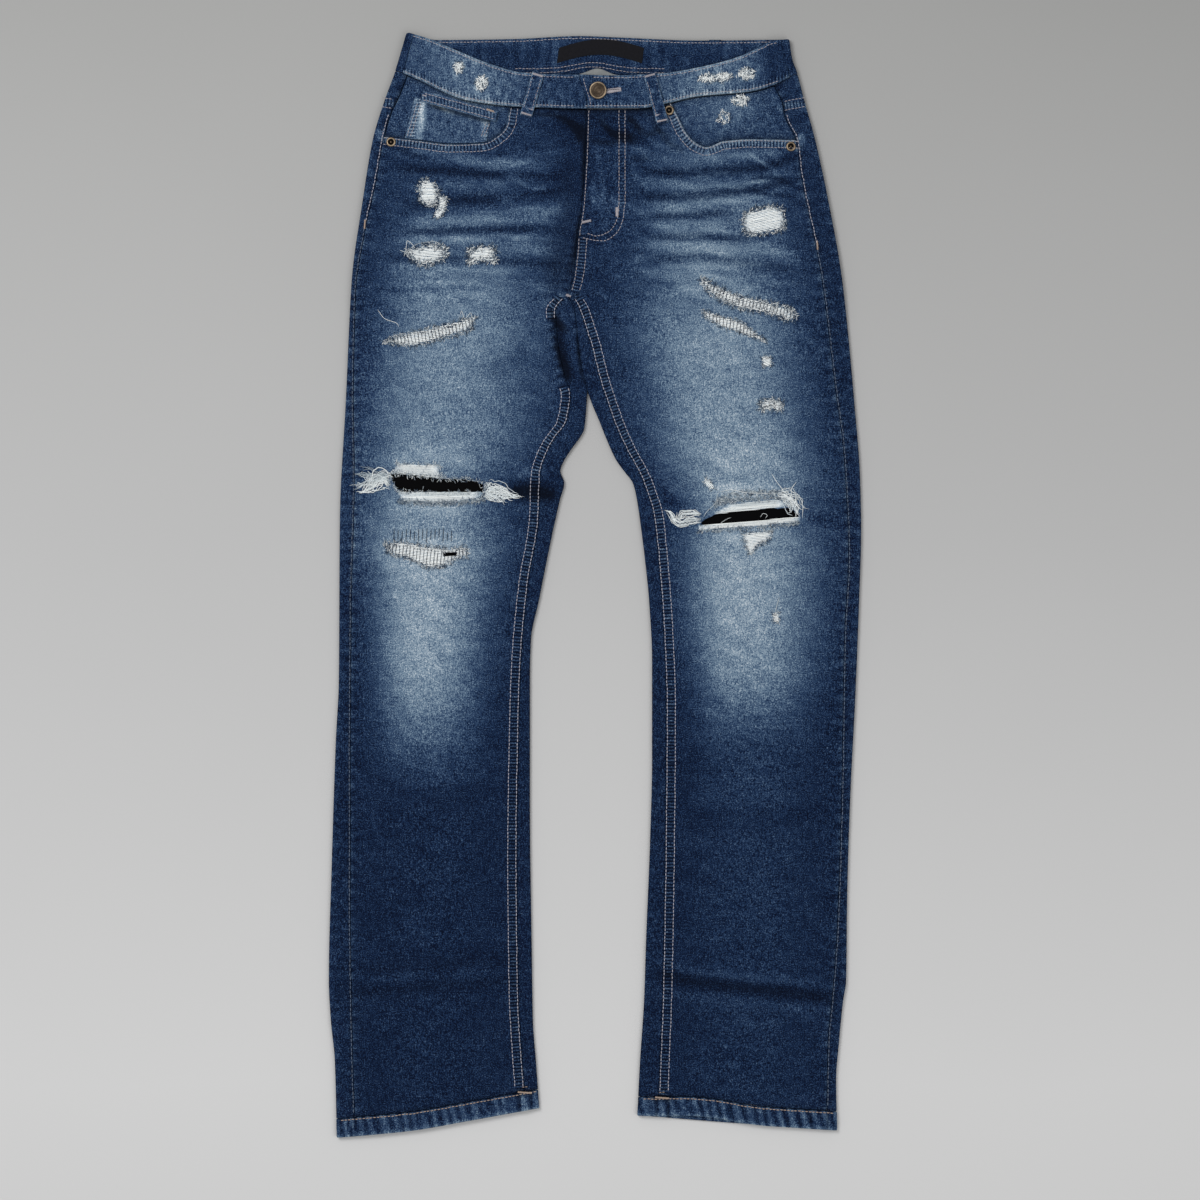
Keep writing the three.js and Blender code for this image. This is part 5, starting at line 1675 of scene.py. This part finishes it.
        def loop_height(x, y):
            return over_band(x, y) + 2.3

        for shift in (-4.2, 4.2):
            a, b = np.array(bottom) + out * shift + run * 0.17, np.array(top) + out * shift - run * 0.1
            topstitch(tan, [tuple(a), tuple(b)], loop_height, width=0.28)
        for share_, colour in ((0.05, tan), (0.17, tan), (0.95, tan)):
            spot = np.array(bottom) + run * share_
            bartack(colour, spot - out * 5.2, spot + out * 5.2, lambda x, y: loop_height(x, y) - 0.5, 2.2)

    hole = [(26, 494.6), (14, 494.0), (9, 492.0)]
    bartack(tan, hole[2], hole[0], lambda x, y: left_band_at(x, y) + 0.1, 4.2, count=26)

    for leg in LEGS:
        d = leg.inward
        mid = -d * 98

        def below(x, y):
            return 0 * x + 0.2

        outline = [(mid - 75, 440), (mid - 67.4, 329.5), (mid, 303), (mid + 67.4, 329.5), (mid + 75, 440)]
        for shift in (2.0, 8.0):
            for a, b in zip(outline[:-1], outline[1:]):
                inset = beside([a, b], shift)
                topstitch(tan, [inset[0], inset[-1]], below, -1.0, width=0.3)
        for shift in (-2.5, -12):
            topstitch(tan, [(mid - 74, 440 + shift), (mid + 74, 440 + shift)], below, -1.0, width=0.3)
        for shift in (2.0, 8.0):
            row = across_line(yoke_seam, min(mid * 2.05, -6 * d), max(mid * 2.05, -6 * d), shift)
            topstitch(tan, row, seat_under, -1.0, width=0.3)
        for shift in (-1.3, -9.0):
            topstitch(grey, shifted(leg.outer, 280, leg.low + 60, d * 14 + shift), seat_under, -1.0, pitch=5, width=0.3)
    for shift in (1.6, 8.6):
        topstitch(tan, shifted(centre_back, 500, 296, shift), seat_under, -1.0, width=0.3)
    topstitch(tan, across_line(back_seam, -190, 190, 3), seat_under, -1.0, width=0.3)
    topstitch(tan, across_line(back_top, -180, 186, -3), lambda x, y: 0 * x + SEAT_LIFT + 0.2, -1.0, width=0.3)

    tan.make("topstitching_tan", tan_thread)
    grey.make("topstitching_grey", grey_thread)
    orange.make("topstitching_orange", orange_thread)
    faint.make("side_stitching_faint", faint_thread)


topstitching()

# Painted shadow: a black strand lying along the buttonhole stands in for the shade in its slit.
buttonhole = Skein()
slit_shadow = [(8.5, 492.2), (14, 493.6), (25.5, 494.4)]
line = evenly(slit_shadow, 1.0)
buttonhole.add(np.column_stack([line, left_band_at(line[:, 0], line[:, 1]) + 0.75])[None], 0.5, 1.0)
buttonhole.make("buttonhole_slit", black_cloth_and_slit_shadow)


# ------------------------------------------------------------------ rips and fraying
def turned_by(points, angle, centre):
    c, s = math.cos(angle), math.sin(angle)
    p = np.asarray(points, float) - centre
    return np.stack([p[..., 0] * c - p[..., 1] * s, p[..., 0] * s + p[..., 1] * c], axis=-1) + centre


def crossings(polygon, at):
    """Where a level line enters and leaves a polygon."""
    spots = []
    for (ax, ay), (bx, by) in zip(polygon, polygon[1:] + polygon[:1]):
        if (ay > at) != (by > at):
            spots.append(ax + (bx - ax) * (at - ay) / (by - ay))
    spots.sort()
    return list(zip(spots[::2], spots[1::2]))


def bundle(skein, polygon, angle, pitch, radius, blue, lift_by, wave=0.25, over=1.0, knots=7):
    """Parallel threads laid across a polygon at an angle."""
    centre = np.mean(polygon, axis=0)
    level = [tuple(p) for p in turned_by(polygon, -angle, centre)]
    low, high = min(p[1] for p in level), max(p[1] for p in level)
    for at in np.arange(low + pitch / 2, high, pitch):
        for a, b in crossings(level, at + rng.normal(0, pitch * 0.15)):
            if b - a < 1.2:
                continue
            x = np.linspace(a - over * rng.random(), b + over * rng.random(), knots)
            y = at + wave * (rng.normal(0, 0.8, knots) + np.sin(np.linspace(0, 5, knots) + rng.uniform(0, 6)))
            spot = turned_by(np.stack([x, y], axis=-1), angle, centre)
            z = top_at(spot[:, 0], spot[:, 1]) + lift_by + rng.normal(0, 0.12, knots)
            z[[0, -1]] -= 0.35
            tint = float(np.clip(blue + rng.normal(0, 0.06), 0, 1))
            skein.add(np.column_stack([spot, z])[None], radius * rng.uniform(0.8, 1.2), tint)


def fringe(skein, polygon, density, length, blue, out=0.6, lift_by=0.25, radius=0.22):
    """Short curled fibres along a torn outline."""
    edge = evenly(polygon + polygon[:1], 1.0)
    n = int(len(edge) * density)
    spots = edge[rng.integers(0, len(edge), n)] + rng.normal(0, 0.7, (n, 2))
    centre = np.mean(polygon, axis=0)
    away = spots - centre
    away /= np.linalg.norm(away, axis=1, keepdims=True) + 1e-6
    heading = np.arctan2(away[:, 1], away[:, 0]) + rng.normal(0, 1.1, n)
    heading += np.where(rng.random(n) > out, np.pi, 0)
    size = length * rng.uniform(0.35, 1.3, n)
    curl = rng.normal(0, 1.1, n)
    knots = 6
    t = np.linspace(0, 1, knots)
    turn = heading[:, None] + curl[:, None] * t * 1.6
    step = size[:, None] / knots
    x = spots[:, :1] + np.cumsum(np.cos(turn) * step, axis=1)
    y = spots[:, 1:] + np.cumsum(np.sin(turn) * step, axis=1)
    rise = rng.uniform(0.1, 1.1, n)[:, None] * np.sin(np.pi * t)
    z = top_at(x, y) + lift_by + rise
    tint = np.clip(blue + rng.normal(0, 0.2, n), 0, 1)
    skein.add(np.stack([x, y, z], axis=-1), radius * rng.uniform(0.7, 1.3, n), tint)


def tuft(skein, spine, width, count, blue=0.05, curl=1.4, radius=0.42, rise=1.4, knots=18):
    """A bundle of loose yarn along a spine; width is a curve of its half width along its length."""
    line = evenly(spine, 0.8)
    lean = np.gradient(line, axis=0)
    lean /= np.linalg.norm(lean, axis=1, keepdims=True)
    side = np.stack([-lean[:, 1], lean[:, 0]], axis=1)
    run = np.linspace(0, 1, len(line))
    for _ in range(int(count * 0.5)):
        end = rng.uniform(0.6, 1.0)
        t = np.linspace(rng.uniform(-0.02, 0.12), end, knots).clip(0, 1)
        base = np.stack([np.interp(t, run, line[:, k]) for k in (0, 1)], axis=1)
        out = np.stack([np.interp(t, run, side[:, k]) for k in (0, 1)], axis=1)
        spread = rng.uniform(-1, 1) + 0.4 * np.cumsum(rng.normal(0, 0.42, knots))
        spread += 0.16 * np.sin(np.linspace(0, rng.uniform(8, 16), knots) + rng.uniform(0, 6))
        spot = base + out * (width(t) * spread)[:, None]
        spot[-3:] += rng.normal(0, curl, (1, 2)) * np.array([[0.2], [0.6], [1.0]])
        z = top_at(spot[:, 0], spot[:, 1]) + 0.3 + rise * rng.random() * np.sin(np.pi * t.clip(0, 1) ** 0.7)
        tint = float(np.clip(blue + abs(rng.normal(0, 0.16)), 0, 1))
        skein.add(np.column_stack([spot, z])[None], radius * rng.uniform(0.7, 1.25), tint)


def loose(skein, points, radius=0.28, blue=0.05, rise=0.5):
    """One loose thread."""
    spot = evenly(points, 1.4)
    z = top_at(spot[:, 0], spot[:, 1]) + 0.3 + rise * np.sin(np.linspace(0, np.pi, len(spot)))
    skein.add(np.column_stack([spot, z])[None], radius, blue)


def rip(skein, polygon, angle=0.0, ladder=False, halo=4.5, density=3.0, pitch=1.5):
    """A rubbed-through patch: white weft left lying across it, and a frayed rim."""
    bundle(skein, polygon, angle, pitch, 0.62, -0.15, 0.35, 0.12)
    if ladder:
        across_angle = angle + math.pi / 2 + rng.normal(0, 0.05)
        bundle(skein, polygon, across_angle, 3.5, 0.36, 1.0, 0.95, 0.12, 1.6, 5)
    fringe(skein, polygon, density * 0.8, halo, 0.78)
    fringe(skein, polygon, density * 0.55, halo * 0.7, 0.1)


def scuff(skein, x, y, wide, high, lift_by, strands=46):
    """A small rubbed place: white weft ends standing out of darker fluff."""
    ring = [(x - wide, y), (x, y + high), (x + wide, y), (x, y - high)]
    fringe(skein, ring, strands / 14, 4.5, 0.75, 0.8, lift_by, 0.2)
    fringe(skein, ring, strands / 10, 4.0, -0.1, 0.4, lift_by + 0.3, 0.3)


def damage():
    yarn_right, yarn_left = Skein(), Skein()
    on_band = BAND_RISE + 0.7
    scuff(yarn_right, -136, 517, 2.5, 4, on_band)
    scuff(yarn_right, -113, 501, 4.5, 5, on_band)
    for x, y, wide, high in ((112, 506, 6, 2), (128, 507, 6, 2), (151, 510.5, 6, 4)):
        scuff(yarn_left, x, y, wide, high, on_band)
    scuff(yarn_left, 145, 484, 7, 3.5, -1.4, 38)
    scuff(yarn_left, 129, 467, 5, 5, -1.4, 16)
    r = yarn_right
    for polygon, angle, ladder, halo, density in RIPS["right"]:
        rip(r, polygon, angle, ladder, halo, density)
    bundle(r, [(-201, 112), (-197, 121), (-157, 120), (-155, 107)], -0.02, 0.8, 0.36, 0.03, 0.35, 0.12)
    bundle(r, [(-196, 93.5), (-194, 85.5), (-162, 83), (-138, 84), (-119, 86.5), (-110, 93.5)], 0.0, 0.95, 0.5,
           0.14, 0.25, 0.1)
    hole = KNEES["right"]
    fringe(r, hole, 2.4, 3.5, 0.45, 0.95)
    fringe(r, [(-196, 84), (-160, 81.5), (-120, 84), (-112, 87), (-120, 85), (-160, 83)], 3.0, 4.5, 0.55, 0.5)
    fringe(r, [(-201, 112), (-197, 121), (-157, 120), (-155, 107)], 2.0, 4, 0.3)
    tuft(r, [(-202, 104), (-212, 107), (-221, 102), (-230, 97), (-239, 94)],
         through((0, 7), (0.4, 6), (1, 3.5)), 60, 0.05, 2.2)
    tuft(r, [(-203, 108), (-216, 110), (-230, 113), (-243, 114)], through((0, 4), (0.5, 4), (1, 2.5)), 26, 0.3, 2.4)
    tuft(r, [(-111, 96), (-98, 94), (-86, 90), (-72, 88.5)], through((0, 8), (0.5, 4.5), (1, 1.2)), 64, 0.05, 1.5)
    tuft(r, [(-111, 91), (-99, 87), (-88, 84)], through((0, 4), (1, 1.5)), 20, 0.08, 1.5)
    loose(r, [(-217, 275.5), (-210, 266.5), (-197, 261), (-196, 258)])
    loose(r, [(-189, 333), (-187, 344), (-184, 342), (-178, 335)])
    loose(r, [(-189, 333), (-176, 341), (-160, 343), (-150, 337)], 0.2, 0.3)
    loose(r, [(-135, 268), (-133, 274), (-130, 266), (-124, 272), (-122, 264)], 0.24)
    for x in np.arange(-201, -140, 4.1):
        loose(r, [(x, 45 + rng.normal(0, 1)), (x + 0.5, 56 + rng.normal(0, 1.5))], 0.36, 1.0, 0.1)

    s = yarn_left
    for polygon, angle, ladder, halo, density in RIPS["left"]:
        rip(s, polygon, angle, ladder, halo, density)
    tilt_by = 0.075
    bundle(s, [(104, 60.5), (204, 68.5), (203, 63.5), (103, 55.5)], tilt_by, 0.8, 0.4, 0.0, 0.35, 0.08)
    bundle(s, [(118, 71.5), (133, 80.5), (160, 83.5), (185, 85.5), (191, 81), (188, 78.5), (124, 71.5)], tilt_by,
           0.95, 0.5, 0.14, 0.25, 0.1)
    fringe(s, [(121, 82), (133, 90), (160, 92), (182, 92), (188, 88), (160, 86), (133, 84)], 4.0, 5, 0.5, 0.5)
    fringe(s, [(103, 55), (150, 57), (201, 62), (150, 58)], 2.0, 3.5, 0.5, 0.7)
    tuft(s, [(106, 66), (95, 66), (85, 62), (80, 65), (74, 73), (69, 74)], through((0, 3.5), (0.5, 2.6), (1, 1.5)),
         34, 0.03, 1.2)
    tuft(s, [(106, 72), (96, 74), (87, 73), (84, 67), (90, 63)], through((0, 2), (1, 2)), 22, 0.03, 1.0)
    tuft(s, [(182, 92), (190, 90), (198, 84), (203, 76), (205, 70)], through((0, 3), (0.5, 4.5), (1, 3)), 46, 0.05, 2.0)
    tuft(s, [(190, 88), (196, 80), (203, 72)], through((0, 3), (1, 3)), 24, 0.1, 2.4)
    loose(s, [(176, 112), (181, 104), (187, 96), (190, 90)])
    loose(s, [(201, 103.5), (196, 95), (197, 88), (200, 84)])
    loose(s, [(123, 93), (135, 95.5), (152, 92.5), (168, 92), (182, 92)], 0.32)
    loose(s, [(123, 93), (120, 82), (112, 74), (108, 68)], 0.26, 0.3)
    loose(s, [(130, 94), (127, 84), (116, 74)], 0.2, 0.5)
    loose(s, [(125, 62), (131, 66), (136, 68)], 0.24, 0.2)
    loose(s, [(165, 68), (168, 72), (172, 70), (170, 67)], 0.24, 0.1)
    loose(s, [(180, -27), (182, -18), (184, -11.5)], 0.3, 0.3)
    # Painted shadow: black strands lying in the lower right rubbed patch stand in for the shade in a slit.
    slit_shadow = Skein()
    for level in (30.4, 31.6, 32.6):
        loose(slit_shadow, [(-152, level - 1.2), (-145, level), (-137, level)], 0.8, 0, 1.2)
    slit_shadow.make("slit_in_knee_patch", black_cloth_and_slit_shadow)
    r.make("frayed_yarn_right", frayed)
    s.make("frayed_yarn_left", frayed)


damage()

# ------------------------------------------------------------------ CAD pieces that show as they are
zip_teeth = thread_finish("zip_tape_and_teeth", tone(70, 62, 50), tone(150, 132, 100), 0.4)
inner_denim = woven_finish("pale_reverse_denim", tone(88, 100, 116), tone(168, 176, 184), 0.8)
shown_finish = {"zip": zip_teeth, "fly_facing": inner_denim, "fly_shield": inner_denim,
                "knee_backing_right": black_cloth_and_slit_shadow, "knee_backing_left": black_cloth_and_slit_shadow}
for node, finish in shown_finish.items():
    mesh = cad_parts[node].data
    mesh.materials.clear()
    mesh.materials.append(finish)

# ------------------------------------------------------------------ the camera, the floor and the light
def studio():
    reach = 4.0
    f = Finish("studio_floor")
    place = f.place()
    down = f.node("SeparateXYZ", {}, {0: place}, out=1)
    # Painted light falloff: the floor is coloured darker towards +Y and paler towards -Y, with a faint unevenness.
    painted_light_falloff = (0.5 - down * 0.0009 + f.noise(place, 0.002, (1, 1, 1), 2) * 0.1).clamped()
    colour = f.ramp(painted_light_falloff, [(0.0, tone(149, 149, 148)), (0.5, tone(171, 171, 171)), (1.0, tone(196, 196, 196))])
    f.shade(Base_Color=colour, Roughness=0.9, Specular_IOR_Level=0.1)
    mesh = bpy.data.meshes.new("floor")
    low = -0.0004
    mesh.from_pydata([(-reach, -reach, low), (reach, -reach, low), (reach, reach, low), (-reach, reach, low)],
                     [], [(0, 1, 2, 3)])
    mesh.materials.append(f.material)
    floor = bpy.data.objects.new("floor", mesh)
    bpy.context.collection.objects.link(floor)

    world = bpy.data.worlds.new("studio_air")
    world.use_nodes = True
    world.node_tree.nodes["Background"].inputs[0].default_value = (1.0, 1.0, 1.0, 1)
    world.node_tree.nodes["Background"].inputs[1].default_value = 0.55
    bpy.context.scene.world = world
    for name, at, size, power in (("soft_window", (-1.3, 1.0, 2.3), 1.2, 46), ("soft_fill", (1.6, -1.2, 2.6), 2.0, 26)):
        light = bpy.data.lights.new(name, "AREA")
        light.size = size
        light.energy = power
        lamp = bpy.data.objects.new(name, light)
        lamp.location = at
        lamp.rotation_euler = Vector(at).to_track_quat("Z", "Y").to_euler()
        bpy.context.collection.objects.link(lamp)

    camera = bpy.data.cameras.new("camera")
    camera.sensor_width = 36
    distance = 3.2
    camera.lens = 36 * distance / 1.2
    camera.clip_end = 20
    eye = bpy.data.objects.new("camera", camera)
    eye.location = (0.005, -0.0145, distance)
    bpy.context.collection.objects.link(eye)
    bpy.context.scene.camera = eye
    bpy.context.scene.view_settings.view_transform = "Standard"


studio()
